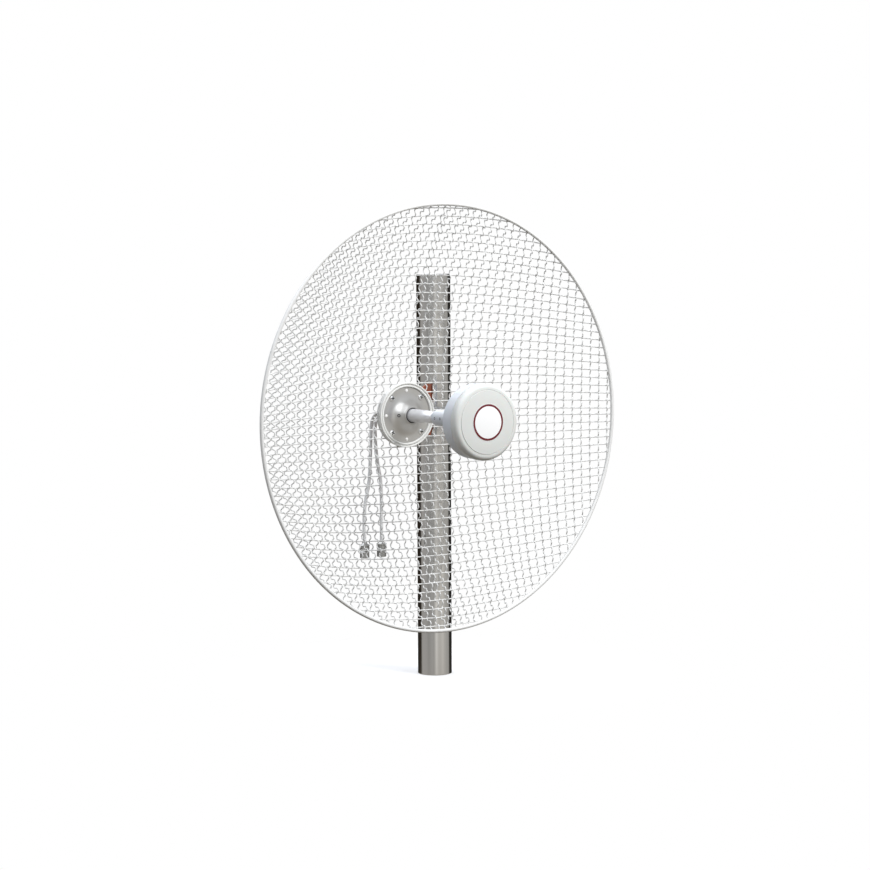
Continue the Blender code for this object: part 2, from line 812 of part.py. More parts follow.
def build():
    """Make the whole antenna."""
    clear_scene()
    steel = material("polished steel", (0.52, 0.50, 0.47), 1.0, 0.22)
    white = material("white coating", (0.84, 0.84, 0.82), 0.0, 0.42)
    silver = material("cast silver", (0.55, 0.55, 0.54), 0.6, 0.42)
    plastic = material("blue white plastic", (0.76, 0.78, 0.81), 0.0, 0.38)
    cover = material("warm white plastic", (0.83, 0.83, 0.80), 0.0, 0.40)
    paper = material("label film", (0.86, 0.86, 0.86), 0.0, 0.35)
    primer = material("red brown primer", (0.22, 0.07, 0.04), 0.0, 0.55)
    zinc = material("zinc plate", (0.56, 0.56, 0.57), 1.0, 0.34)
    clamp = material("galvanised casting", (0.50, 0.51, 0.52), 0.9, 0.48)
    black = material("black rubber", (0.04, 0.04, 0.04), 0.0, 0.6)
    sheath = material("light grey sheath", (0.70, 0.71, 0.72), 0.0, 0.45)
    build_mast(steel)
    build_rim(white)
    build_panel("mesh_upper_left", -1, 1, white)
    build_panel("mesh_upper_right", 1, 1, white)
    build_panel("mesh_lower_left", -1, -1, white)
    build_panel("mesh_lower_right", 1, -1, white)
    build_hub(white, silver)
    build_feed(silver, plastic, cover, paper)
    build_bracket(primer, clamp, zinc)
    build_outlet(black, zinc)
    build_cable("cable_left", -1, sheath)
    build_cable("cable_right", 1, sheath)
    build_connector("left", -1, zinc)
    build_connector("right", 1, zinc)


build()
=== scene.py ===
"""Looks of a mesh parabolic dish antenna on a section of polished mast, in metres, +Z up.

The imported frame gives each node's place. The dish faces -Y. A station is a distance in front of the
vertex of the reflector, measured along the dish axis. A profile is a list of (radius, distance) points.
"""
import math

import bmesh
import bpy
import numpy as np
from mathutils import Matrix, Vector


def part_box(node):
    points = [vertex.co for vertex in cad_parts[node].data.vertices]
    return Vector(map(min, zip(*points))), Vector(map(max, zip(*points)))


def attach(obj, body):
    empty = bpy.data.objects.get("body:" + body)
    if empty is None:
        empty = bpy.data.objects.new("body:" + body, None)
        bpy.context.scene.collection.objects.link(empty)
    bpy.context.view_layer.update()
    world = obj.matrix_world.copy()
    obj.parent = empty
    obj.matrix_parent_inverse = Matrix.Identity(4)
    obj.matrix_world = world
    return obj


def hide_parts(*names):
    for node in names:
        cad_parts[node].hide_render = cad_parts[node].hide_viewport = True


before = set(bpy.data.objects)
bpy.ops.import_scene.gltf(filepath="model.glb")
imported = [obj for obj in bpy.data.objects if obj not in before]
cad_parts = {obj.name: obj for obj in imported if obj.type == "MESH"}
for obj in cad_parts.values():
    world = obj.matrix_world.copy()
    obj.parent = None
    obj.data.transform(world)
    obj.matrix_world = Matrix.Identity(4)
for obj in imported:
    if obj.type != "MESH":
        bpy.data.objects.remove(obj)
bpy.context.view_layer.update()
ROOT = "root"
TAU = 2.0 * math.pi

# Places read from the frame
RIM_LOW, RIM_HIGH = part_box("rim_ring")
REAR_PLATE_LOW, REAR_PLATE_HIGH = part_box("hub_rear_plate")
RING_LOW, RING_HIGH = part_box("hub_front_ring")
MAST_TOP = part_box("mast_tube")[1]
BUSH_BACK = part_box("outlet_bush")[1].y
REAR_PLATE_FRONT = 0.0009
VERTEX = np.array([(RIM_LOW.x + RIM_HIGH.x) / 2.0, REAR_PLATE_LOW.y + REAR_PLATE_FRONT,
                   (RIM_LOW.z + RIM_HIGH.z) / 2.0])

# Mast
MAST_RADIUS = MAST_TOP.x
MAST_HEIGHT = MAST_TOP.z
MAST_WALL = 0.003
MAST_FOOT = 0.006

# Reflector
FOCAL_LENGTH = 0.3187
RIM_TUBE = 0.0039
RIM_RADIUS = (RIM_HIGH.x - RIM_LOW.x) / 2.0 - RIM_TUBE
WIRE_RADIUS = 0.00130
LAYER_SHARE = 0.8
PITCH = 0.0200
NET_MIDDLE = (0.0093, -0.0007)
NET_TWIST = -0.0028
OWN_TERM = 0.06
MESH_START = 0.0625
HUB_CLAMP = 0.0690
HUB_CALM = 0.012
RIM_CALM = 0.010
LONGEST_RUN = 0.50
RUN_STEPS = 501
SHORTEST_SHARE = 0.3
UPRIGHT_STEPS = 16
ROW_STEPS = 7
WIRE_SIDES = 6
LINES_EACH_WAY = 24

# Weave of each quarter of the dish. In cells: the place of its first wire and a shift that grows over
# the first cells. Then how the cells close up towards the rim: with the wire's own place (along), with the
# distance along it (across), and by two far terms of the fourth power
UPRIGHTS = {
    "upper_left": dict(first=0.477, shift=-0.050, along=0.171, across=0.978, run=-3.13, both=1.22),
    "lower_left": dict(first=0.477, shift=0.050, along=0.171, across=0.994, run=-2.72, both=0.03),
    "upper_right": dict(first=0.190, shift=0.022, along=0.330, across=0.890, run=-0.23, both=-1.50),
    "lower_right": dict(first=0.190, shift=-0.018, along=0.330, across=0.905, run=-0.20, both=-1.53),
}
ROWS = {
    "upper_left": dict(first=0.407, shift=0.0, along=0.255, across=0.858, run=-0.03, both=-1.28),
    "lower_left": dict(first=0.407, shift=0.0, along=0.284, across=0.888, run=-0.29, both=-1.29),
    "upper_right": dict(first=0.407, shift=0.0, along=0.260, across=0.904, run=-0.24, both=-1.22),
    "lower_right": dict(first=0.407, shift=0.0, along=0.286, across=0.900, run=-0.38, both=-1.22),
}
SHIFT_REACH = 0.06

# Wave of every other wire off the surface, on the left and on the right; the wires between wave back
UPRIGHT_WAVE = {"left": 0.0044, "right": -0.0053}
ROW_WAVE = {"left": 0.0006, "right": -0.0006}
SECOND_SHARE = 0.09
THIRD_SHARE = 0.20

# Hub
HUB_RADIUS = (RING_HIGH.x - RING_LOW.x) / 2.0
RING_BORE = 0.0602
RING_BACK = 0.0055
REAR_PLATE_RADIUS = (REAR_PLATE_HIGH.x - REAR_PLATE_LOW.x) / 2.0
REAR_PLATE_BACK = -0.0050
PLATE_RADIUS = 0.0599
PLATE_BACK = 0.0012
PLATE_FRONT = 0.0095
HUB_BORE = 0.0146
NECK_RADIUS = 0.0200
NECK_FRONT = 0.0333
NECK_LIP = 0.0034
NECK_GROOVE = 0.0008
FLARE_RADIUS = 0.0520
FLARE_POWER = 2.6
# Black seal ring in the neck groove, there as painted shade of the groove
SHADE_SEAL_RADIUS = 0.0163
SHADE_SEAL_BACK = NECK_FRONT - 0.0029
HOUSING_BACK = -0.0440
HOUSING_BORE = 0.0153
HOUSING_WALL = 0.0050
BUSH_RADIUS = 0.0150

# Fasteners of the hub and the feed
FASTENER_CIRCLE = 0.0526
HEAD_SUNK = 0.0004
RIVET_RADIUS = 0.0035
RIVET_HEIGHT = 0.0016
SCREW_RADIUS = 0.0066
SCREW_HEIGHT = 0.0040
SCREW_TWISTS = (0.30, 0.05, 0.45, 0.18)
SLOT_HALF = 0.15
SLOT_REACH = 0.72
SLOT_EDGE = 0.06
SLOT_RUNOUT = 0.12
NECK_SCREW_PLACE = (-0.0273, 0.0204, 0.0)
NECK_SCREW_FACING = (-1.0, -0.90, 0.0)
SOCKET_SCREW_STATIONS = (0.1390, 0.1585)

# Feed
ARM_BACK = 0.0060
ARM_INSIDE = 0.0100
ARM_ROOT = 0.0142
ARM_TIP = 0.0121
ARM_FRONT = 0.1250
TAPER_START = 0.0360
TAPER_END = 0.1080
SOCKET_RADIUS = 0.0172
SOCKET_BACK = 0.1210
SOCKET_FRONT = 0.1850
CONE_ROOT = 0.0205
CONE_RADIUS = 0.0700
DRUM_RADIUS = 0.0774
COVER_RADIUS = 0.0790
DRUM_BACK = 0.2520
DRUM_FRONT = 0.2840
COVER_EDGE = DRUM_FRONT + 0.0110
COVER_SHOULDER = DRUM_FRONT + 0.0204
COVER_GROOVE = DRUM_FRONT + 0.0200
CROWN_START = DRUM_FRONT + 0.0212
CROWN_RADIUS = 0.0655
COVER_FRONT = 0.3068
LABEL_RADIUS = 0.0378
LABEL_BACK = COVER_FRONT + 0.00005
LABEL_FRONT = COVER_FRONT + 0.0005
PRINT_INNER = 0.0331
PRINT_OUTER = 0.0375
PRINT_BLUR = 0.0002

# Cables, glands and connectors
CABLE_RADIUS = 0.0037
CABLE_PLANE = 0.1200
CABLE_START = 0.0766
CABLE_END = 0.2852
CURVE_STEPS = 40
RELIEF_LENGTH = 0.020
RELIEF_RADIUS = 0.0047
RELIEF_TAPER = 0.0006
RIB_PITCH = 0.0026
RIB_HEIGHT = 0.00025
FLANGE_RISE = 0.0142
FERRULE_RADIUS = 0.0055
COLLAR_RADIUS = 0.0110
BODY_RADIUS = 0.0098
BODY_FLAT = 0.0096
SLEEVE_RADIUS = 0.0103
SLEEVE_BORE = 0.0080
KNURLS = 36.0
KNURL_DEPTH = 0.00022
PIN_RADIUS = 0.0014
GLAND_FLAT = 0.0055

# Clamp bolts, and the nuts behind the hub
BOLT_RADIUS = 0.0031
BOLT_FLAT = 0.0049
BOLT_LEAD = 0.0010
SHANK_RADIUS = 0.0030
NUT_FACE = 0.0085
NUT_REACH = 0.0052
HEAD_FACE = 0.0042
REAR_BOLT_RADIUS = 0.0026
REAR_NUT_FLAT = 0.0044
REAR_BOLT_LEAD = 0.0009
REAR_WASHER = 0.0008
WASHER = 0.0009
WASHER_EASE = 0.0002
CHAMFER = 0.0005
THREAD_ROWS = 8

# Clearance between touching pieces, and the flat middle that closes a solid turned piece
SEAT = 0.0003
CORE = 0.0020

# Camera of the photograph: place, aim and lens
PHOTO_WIDTH = 870
CAMERA_PLACE = (-2.90716, -4.18925, 0.91872)
CAMERA_RIGHT = (0.82107865, -0.57079764, -0.00446203)
CAMERA_UP = (0.04626691, 0.05875855, 0.99719948)
CAMERA_BACK = (-0.56893693, -0.81898565, 0.07465444)
CAMERA_RANGE = (0.1, 60.0)
FOCAL_PIXELS = 2286.32
SENSOR = 36.0


def show(name, data):
    """Put a mesh, lamp or camera into the scene as an object of its own."""
    made = bpy.data.objects.new(name, data)
    bpy.context.scene.collection.objects.link(made)
    return made


def make_camera():
    """Camera standing where the photograph was taken, with its lens."""
    data = bpy.data.cameras.new("camera")
    data.sensor_width = SENSOR
    data.lens = FOCAL_PIXELS * SENSOR / PHOTO_WIDTH
    data.clip_start, data.clip_end = CAMERA_RANGE
    camera = show("camera", data)
    turn = Matrix((CAMERA_RIGHT, CAMERA_UP, CAMERA_BACK)).transposed().to_4x4()
    camera.matrix_world = Matrix.Translation(CAMERA_PLACE) @ turn
    bpy.context.scene.camera = camera


make_camera()


def dish(across, station, height):
    """Dish coordinates turned into metres from the foot of the mast, as whole arrays."""
    across, station, height = np.broadcast_arrays(across, station, height)
    return np.stack([VERTEX[0] + across, VERTEX[1] - station, VERTEX[2] + height], axis=-1)


def unit(vectors):
    """Each vector divided by its own length."""
    return vectors / np.linalg.norm(vectors, axis=-1, keepdims=True)


def quads(rows, columns, ring):
    """Corner numbers of the faces of a grid whose columns close round, and in a ring its rows too."""
    row, column = np.meshgrid(np.arange(rows - (not ring)), np.arange(columns), indexing="ij")
    below = (row + 1) % rows
    beside = (column + 1) % columns
    corners = [row * columns + column, row * columns + beside,
               below * columns + beside, below * columns + column]
    return np.stack(corners, axis=-1).reshape(-1, 4)


def cap(first, count, flip):
    """Four-cornered faces that close a ring of an even number of points, fanned from its first point."""
    step = np.arange(1, count - 1, 2)
    fan = np.stack([np.zeros_like(step), step, step + 1, (step + 2) % count], axis=-1) + first
    return fan[:, ::-1] if flip else fan


def patch(points, ring=False, cap_end=True):
    """A grid of points (rows, columns, 3) as a point list and a face list, with caps unless it is a ring."""
    rows, columns = points.shape[:2]
    faces = [quads(rows, columns, ring)]
    if not ring:
        faces.append(cap(0, columns, True))
    if cap_end and not ring:
        faces.append(cap((rows - 1) * columns, columns, False))
    return points.reshape(-1, 3), np.concatenate(faces)


def joined(patches):
    """Several patches as one point list and one face list."""
    counts = np.cumsum([0] + [len(points) for points, _ in patches[:-1]])
    points = np.concatenate([points for points, _ in patches])
    faces = np.concatenate([faces + start for (_, faces), start in zip(patches, counts)])
    return points, faces


def shade(mesh, look, sharp):
    """One finish all over, shaded smooth up to the sharp angle."""
    mesh.polygons.foreach_set("use_smooth", np.ones(len(mesh.polygons), bool))
    mesh.set_sharp_from_angle(angle=math.radians(sharp))
    mesh.materials.append(look)


def piece(name, patches, look, replaces=(), sharp=38.0, recess=None):
    """Make one shown piece from patches, its faces turned outward."""
    points, faces = joined(patches)
    mesh = bpy.data.meshes.new(name)
    mesh.from_pydata(points, [], faces)
    work = bmesh.new()
    work.from_mesh(mesh)
    bmesh.ops.recalc_face_normals(work, faces=work.faces)
    work.to_mesh(mesh)
    work.free()
    if recess is not None:
        mesh.attributes.new("recess", "FLOAT", "POINT").data.foreach_set("value", recess)
    shade(mesh, look, sharp)
    made = show(name, mesh)
    finish_piece(made, replaces)
    return made


def finish_piece(made, replaces):
    """Body and replaced nodes of a shown piece."""
    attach(made, ROOT)
    if replaces:
        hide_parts(*replaces)


def raised(profile, by):
    """Profile moved along its axis."""
    return [(radius, distance + by) for radius, distance in profile]


def eased(profile, radius, steps, loop):
    """Profile whose corners are parabolas: (1-t)^2 a + 2t(1-t) corner + t^2 b, with a and b on its sides."""
    corner = np.array(profile, float)
    back = np.roll(corner, 1, axis=0) - corner
    ahead = np.roll(corner, -1, axis=0) - corner
    start, end = (corner + way * np.minimum(radius / np.linalg.norm(way, axis=1, keepdims=True), 0.45)
                  for way in (back, ahead))
    t = np.linspace(0.0, 1.0, steps + 1)[None, :, None]
    curve = ((1 - t) ** 2 * start[:, None] + 2 * t * (1 - t) * corner[:, None] + t ** 2 * end[:, None])
    if loop:
        return curve.reshape(-1, 2)
    return np.concatenate([corner[:1], curve[1:-1].reshape(-1, 2), corner[-1:]])


def quarter(start, end, count, bulge_first):
    """Quarter ellipse between two profile points; it leaves the first along the first or second number."""
    turn = np.linspace(0.0, math.pi / 2.0, count)
    start, end = np.array(start, float), np.array(end, float)
    rising, easing = np.sin(turn), 1.0 - np.cos(turn)
    share = np.stack([rising, easing] if bulge_first else [easing, rising], axis=-1)
    return start + (end - start) * share


# Axes of a turned shape: two across it and the one along it
RIGHT = np.array([1.0, 0.0, 0.0])
FORWARD = np.array([0.0, -1.0, 0.0])
BACKWARD = np.array([0.0, 1.0, 0.0])
UP = np.array([0.0, 0.0, 1.0])
DISH_AXES = (RIGHT, UP, FORWARD)
BACK_AXES = (RIGHT, UP, BACKWARD)
UP_AXES = (RIGHT, BACKWARD, UP)
SIDE_AXES = (BACKWARD, UP, RIGHT)


def round_angles(count):
    """Even angles once round."""
    return np.linspace(0.0, TAU, count, endpoint=False)


def round_grid(centre, radius, angle, distance, axes):
    """Grid of points round an axis: centre + r (cos a side + sin a rise) + d along."""
    side, rise, along = axes
    around = np.cos(angle)[..., None] * side + np.sin(angle)[..., None] * rise
    return np.asarray(centre) + radius[..., None] * around + distance[..., None] * along


def turned(profile, centre=VERTEX, axes=DISH_AXES, *, steps, ring=False):
    """Profile turned round an axis: closed by flat ends, or a ring whose profile closes on itself."""
    profile = np.asarray(profile, float)
    points = round_grid(centre, profile[:, :1], round_angles(steps), profile[:, 1:], axes)
    return patch(points, ring)


def soft_turned(profile, centre=VERTEX, axes=DISH_AXES, *, ease, steps, ring=False, ease_steps=4):
    """Turned profile with eased corners."""
    return turned(eased(profile, ease, ease_steps, ring), centre, axes, steps=steps, ring=ring)


def washer(inner, outer, start, end, centre, axes, *, ease=WASHER_EASE, steps=48):
    """Flat ring between two distances, closed inside by flat ends that its bolt covers."""
    profile = [(inner, start), (outer, start), (outer, end), (inner, end)]
    return soft_turned(profile, centre, axes, ease=ease, steps=steps)


def hexagon(flat, angle):
    """Distance from the middle of a hexagon to its side: flat / cos(a mod 60 - 30)."""
    return flat / np.cos((angle + math.pi / 6.0) % (math.pi / 3.0) - math.pi / 6.0)


def six_sided(flat, low, high, centre, axes, chamfer=CHAMFER):
    """Hexagon block whose corners are cut at both ends by a cone of the chamfer."""
    angle = round_angles(48)
    top = math.copysign(chamfer, high - low)
    ends = np.array([(low, 0.0), (low + top, chamfer), (high - top, chamfer), (high, 0.0)])
    radius = np.minimum(hexagon(flat, angle), flat * 0.97 + ends[:, 1:] * 2.2)
    return patch(round_grid(centre, radius, angle, ends[:, :1], axes))


def threaded(radius, low, high, centre, axes, *, depth, lead, steps):
    """Screw thread: radius - depth |2 frac(z / lead - a / 2 pi) - 1| over a grid of angle and distance."""
    angle = round_angles(steps)
    turns = abs(high - low) / lead
    distance = np.linspace(low, high, max(4, int(turns * THREAD_ROWS)) + 1)[:, None]
    share = (distance / lead - angle[None] / TAU) % 1.0
    size = radius - depth * np.abs(2.0 * share - 1.0)
    return patch(round_grid(centre, size, angle, distance, axes))


def swept(path, radius, sides, reference):
    """Round section carried along a path: p + r (cos a B + sin a N), B = T x reference, N = B x T."""
    along = unit(np.gradient(path, axis=0))
    side = unit(np.cross(along, reference))[:, None]
    rise = np.cross(side[:, 0], along)[:, None]
    angle = round_angles(sides)[None, :, None]
    radius = np.broadcast_to(radius, len(path))[:, None, None]
    points = path[:, None] + radius * (np.cos(angle) * side + np.sin(angle) * rise)
    return patch(points)


def smooth_step(value):
    """0 below 0, 1 above 1, and 3t^2 - 2t^3 between."""
    t = np.clip(value, 0.0, 1.0)
    return t * t * (3.0 - 2.0 * t)


# Shared surface effects


def link(tree, source, target):
    """Join an output socket to an input socket."""
    tree.links.new(source, target)


def node(tree, kind, **settings):
    """Add a node with its own settings and input values."""
    made = tree.nodes.new(kind)
    for key, value in settings.items():
        if key.startswith("in_"):
            made.inputs[key[3:].replace("_", " ")].default_value = value
        else:
            setattr(made, key, value)
    return made


def maths(tree, operation, *values, clamp=False):
    """Math node whose inputs are sockets or numbers; gives its output socket."""
    made = node(tree, "ShaderNodeMath", operation=operation, use_clamp=clamp)
    for value, target in zip(values, made.inputs):
        if isinstance(value, (int, float)):
            target.default_value = value
        else:
            link(tree, value, target)
    return made.outputs[0]


def add_group(name, inputs, outputs):
    """Empty shader node group with named number sockets, and its entry and exit."""
    tree = bpy.data.node_groups.new(name, "ShaderNodeTree")
    for label, value in inputs.items():
        socket = tree.interface.new_socket(label, in_out="INPUT", socket_type="NodeSocketFloat")
        socket.default_value = value
    for label in outputs:
        tree.interface.new_socket(label, in_out="OUTPUT", socket_type="NodeSocketFloat")
    return tree, node(tree, "NodeGroupInput"), node(tree, "NodeGroupOutput")


def grain_group():
    """Fine and coarse noise in object space: their mix, the coarse one alone and the fine one as height."""
    tree, entry, leave = add_group("surface_grain", {"Fine Scale": 900.0, "Coarse Scale": 14.0},
                                   ("Tone", "Patches", "Height"))
    place = node(tree, "ShaderNodeTexCoord")
    fine = node(tree, "ShaderNodeTexNoise", in_Detail=3.0, in_Roughness=0.6)
    coarse = node(tree, "ShaderNodeTexNoise", in_Detail=4.0, in_Roughness=0.55)
    for noise, label in ((fine, "Fine Scale"), (coarse, "Coarse Scale")):
        link(tree, place.outputs["Object"], noise.inputs["Vector"])
        link(tree, entry.outputs[label], noise.inputs["Scale"])
    tone = maths(tree, "ADD", maths(tree, "MULTIPLY", fine.outputs[0], 0.6),
                 maths(tree, "MULTIPLY", coarse.outputs[0], 0.4))
    link(tree, tone, leave.inputs["Tone"])
    link(tree, coarse.outputs[0], leave.inputs["Patches"])
    link(tree, fine.outputs[0], leave.inputs["Height"])
    return tree


def streak_group():
    """Long marks that run along Z: noise on object coordinates times a scale across and one along."""
    tree, entry, leave = add_group("upright_streaks", {"Across": 240.0, "Along": 2.0}, ("Mark",))
    place = node(tree, "ShaderNodeTexCoord")
    parts = node(tree, "ShaderNodeSeparateXYZ")
    link(tree, place.outputs["Object"], parts.inputs[0])
    together = node(tree, "ShaderNodeCombineXYZ")
    for axis, label in (("X", "Across"), ("Y", "Across"), ("Z", "Along")):
        link(tree, maths(tree, "MULTIPLY", parts.outputs[axis], entry.outputs[label]),
             together.inputs[axis])
    noise = node(tree, "ShaderNodeTexNoise", in_Scale=1.0, in_Detail=5.0, in_Roughness=0.62)
    link(tree, together.outputs[0], noise.inputs["Vector"])
    link(tree, noise.outputs[0], leave.inputs["Mark"])
    return tree


def dust_group():
    """Pale film that settles in patches on what faces up: (Z / 2 + 1 / 2) times noise times the amount."""
    tree, entry, leave = add_group("settled_dust", {"Amount": 0.3, "Scale": 22.0}, ("Mask",))
    place = node(tree, "ShaderNodeTexCoord")
    normal = node(tree, "ShaderNodeNewGeometry")
    parts = node(tree, "ShaderNodeSeparateXYZ")
    link(tree, normal.outputs["Normal"], parts.inputs[0])
    noise = node(tree, "ShaderNodeTexNoise", in_Detail=6.0, in_Roughness=0.6)
    link(tree, place.outputs["Object"], noise.inputs["Vector"])
    link(tree, entry.outputs["Scale"], noise.inputs["Scale"])
    facing = maths(tree, "MULTIPLY_ADD", parts.outputs["Z"], 0.5, 0.5)
    wanted = maths(tree, "MULTIPLY", facing, noise.outputs[0])
    link(tree, maths(tree, "MULTIPLY", wanted, entry.outputs["Amount"], clamp=True),
         leave.inputs["Mask"])
    return tree


def ring_group():
    """Distance from the dish axis, and fine turning marks that are noise on that distance."""
    tree, entry, leave = add_group("round_the_dish_axis", {"Mark Scale": 900.0}, ("Distance", "Marks"))
    place = node(tree, "ShaderNodeTexCoord")
    shift = node(tree, "ShaderNodeMapping", in_Location=(-VERTEX[0], 0.0, -VERTEX[2]))
    link(tree, place.outputs["Object"], shift.inputs["Vector"])
    flat = node(tree, "ShaderNodeVectorMath", operation="MULTIPLY")
    flat.inputs[1].default_value = (1.0, 0.0, 1.0)
    link(tree, shift.outputs[0], flat.inputs[0])
    length = node(tree, "ShaderNodeVectorMath", operation="LENGTH")
    link(tree, flat.outputs[0], length.inputs[0])
    distance = length.outputs["Value"]
    along = node(tree, "ShaderNodeCombineXYZ")
    link(tree, maths(tree, "MULTIPLY", distance, entry.outputs["Mark Scale"]), along.inputs["X"])
    noise = node(tree, "ShaderNodeTexNoise", in_Scale=1.0, in_Detail=4.0)
    link(tree, along.outputs[0], noise.inputs["Vector"])
    link(tree, distance, leave.inputs["Distance"])
    link(tree, noise.outputs[0], leave.inputs["Marks"])
    return tree


GRAIN = grain_group()
STREAKS = streak_group()
DUST = dust_group()
RINGS = ring_group()


def toned(colour, factor, lift=0.0):
    """Colour times a factor plus a lift, at most 1."""
    return tuple(min(1.0, factor * part + lift) for part in colour)


def spread(tree, source, low, high, start=0.0, full=1.0, smooth=False):
    """Map what runs from start to full onto low to high; gives the output socket."""
    made = node(tree, "ShaderNodeMapRange", interpolation_type="SMOOTHSTEP" if smooth else "LINEAR",
                in_From_Min=start, in_From_Max=full, in_To_Min=low, in_To_Max=high)
    link(tree, source, made.inputs["Value"])
    return made.outputs["Result"]


class Finish:
    """One material: a Principled shader with helpers that lay effects over its base colour."""

    def __init__(self, name, colour, metallic=0.0, **sockets):
        self.material = bpy.data.materials.new(name)
        self.material.use_nodes = True
        self.tree = self.material.node_tree
        self.shader = self.tree.nodes["Principled BSDF"]
        self.shader.inputs["Metallic"].default_value = metallic
        for label, value in sockets.items():
            self.shader.inputs[label.replace("_", " ")].default_value = value
        self.material.diffuse_color = (*colour, 1.0)
        self.shader.inputs["Base Color"].default_value = (*colour, 1.0)

    def group(self, tree, **values):
        """Place a shared effect with this material's own values; gives its outputs."""
        made = self.tree.nodes.new("ShaderNodeGroup")
        made.node_tree = tree
        for label, value in values.items():
            made.inputs[label.replace("_", " ")].default_value = value
        return made.outputs

    def lay(self, mask, colour):
        """Mix another colour over what the base colour is so far, by a mask."""
        mix = node(self.tree, "ShaderNodeMix", data_type="RGBA")
        link(self.tree, mask, mix.inputs["Factor"])
        base = self.shader.inputs["Base Color"]
        if base.is_linked:
            link(self.tree, base.links[0].from_socket, mix.inputs["A"])
        else:
            mix.inputs["A"].default_value = base.default_value
        mix.inputs["B"].default_value = (*colour, 1.0)
        link(self.tree, mix.outputs["Result"], base)

    def mottle(self, source, colour, share, start, full):
        """Lay a colour over, up to a share, where a mask rises from start to full."""
        self.lay(spread(self.tree, source, 0.0, share, start, full), colour)

    def dust(self, colour, amount, scale):
        """Lay the settled dust over in its colour."""
        self.lay(self.group(DUST, Amount=amount, Scale=scale)["Mask"], colour)

    def rough(self, source, roughness):
        """Roughness that follows a mask between two values."""
        link(self.tree, spread(self.tree, source, *roughness), self.shader.inputs["Roughness"])

    def textured(self, roughness, *, fine, coarse, depth, strength):
        """Grain that drives the roughness and a small relief; gives the grain's outputs."""
        grain = self.group(GRAIN, Fine_Scale=fine, Coarse_Scale=coarse)
        self.rough(grain["Tone"], roughness)
        relief = node(self.tree, "ShaderNodeBump", in_Strength=strength, in_Distance=depth)
        link(self.tree, grain["Height"], relief.inputs["Height"])
        link(self.tree, relief.outputs[0], self.shader.inputs["Normal"])
        return grain


def steel_finish():
    """Polished stainless tube: long polishing marks and faint smears."""
    steel = Finish("polished_mast_steel", (0.60, 0.59, 0.575), metallic=1.0)
    marks = steel.group(STREAKS, Across=520.0, Along=3.0)["Mark"]
    smears = steel.group(GRAIN, Fine_Scale=160.0, Coarse_Scale=9.0)["Patches"]
    steel.mottle(marks, (0.44, 0.43, 0.41), share=0.22, start=0.45, full=0.75)
    steel.mottle(smears, (0.50, 0.48, 0.45), share=0.20, start=0.5, full=0.8)
    steel.rough(marks, (0.07, 0.16))
    return steel.material


def coated_finish(name, colour, roughness):
    """White powder coat: orange peel, slightly dusty on what faces up."""
    coat = Finish(name, colour, Coat_Weight=0.25, Coat_Roughness=0.25)
    grain = coat.textured(roughness, fine=1500.0, coarse=30.0, depth=0.0001, strength=0.3)
    coat.mottle(grain["Patches"], toned(colour, 0.86), share=0.25, start=0.45, full=0.8)
    coat.dust((0.70, 0.69, 0.66), amount=0.35, scale=30.0)
    return coat.material


def cast_finish(name, colour, metallic, roughness):
    """Silver lacquer over a casting: metal flake speckle, soft blotches and faint turning marks."""
    cast = Finish(name, colour, metallic=metallic)
    grain = cast.textured(roughness, fine=2200.0, coarse=40.0, depth=0.00012, strength=0.35)
    marks = cast.group(RINGS, Mark_Scale=1100.0)["Marks"]
    cast.mottle(grain["Height"], toned(colour, 1.2), share=0.5, start=0.5, full=0.8)
    cast.mottle(grain["Patches"], toned(colour, 0.93), share=0.3, start=0.45, full=0.8)
    cast.mottle(marks, toned(colour, 0.88), share=0.2, start=0.5, full=0.8)
    return cast.material


def plastic_finish(name, colour, roughness, patches):
    """Moulded weather-proof plastic: fine texture, slow change of tone and settled dust."""
    shell = Finish(name, colour, Subsurface_Weight=0.06, Subsurface_Scale=0.004)
    grain = shell.textured(roughness, fine=1800.0, coarse=11.0, depth=0.00006, strength=0.35)
    shell.mottle(grain["Patches"], patches, share=0.35, start=0.4, full=0.75)
    shell.dust(toned(patches, 0.9), amount=0.30, scale=16.0)
    return shell.material


def label_finish():
    """Printed film: white field with a dark red ring just inside its edge, nothing inside it."""
    film = Finish("printed_label_film", (0.99, 0.99, 0.99), Coat_Weight=0.1, Coat_Roughness=0.12)
    grain = film.textured((0.28, 0.42), fine=2500.0, coarse=60.0, depth=0.00003, strength=0.2)
    film.mottle(grain["Patches"], (0.97, 0.97, 0.965), share=0.12, start=0.4, full=0.8)
    distance = film.group(RINGS, Mark_Scale=300.0)["Distance"]
    inner = spread(film.tree, distance, 0.0, 1.0, PRINT_INNER - PRINT_BLUR, PRINT_INNER + PRINT_BLUR, True)
    outer = spread(film.tree, distance, 1.0, 0.0, PRINT_OUTER - PRINT_BLUR, PRINT_OUTER + PRINT_BLUR, True)
    film.lay(maths(film.tree, "MULTIPLY", inner, outer), (0.14, 0.008, 0.015))
    return film.material


def primer_finish():
    """Red-brown primer on bent plate: brush drag, paler scuffs and dust."""
    primer = Finish("red_brown_primer_paint", (0.30, 0.062, 0.025))
    grain = primer.textured((0.45, 0.8), fine=420.0, coarse=26.0, depth=0.0003, strength=0.5)
    drag = primer.group(STREAKS, Across=380.0, Along=30.0)["Mark"]
    primer.mottle(drag, (0.15, 0.035, 0.02), share=0.6, start=0.45, full=0.75)
    primer.mottle(grain["Patches"], (0.33, 0.12, 0.045), share=0.7, start=0.58, full=0.72)
    primer.dust((0.36, 0.25, 0.19), amount=0.55, scale=40.0)
    return primer.material


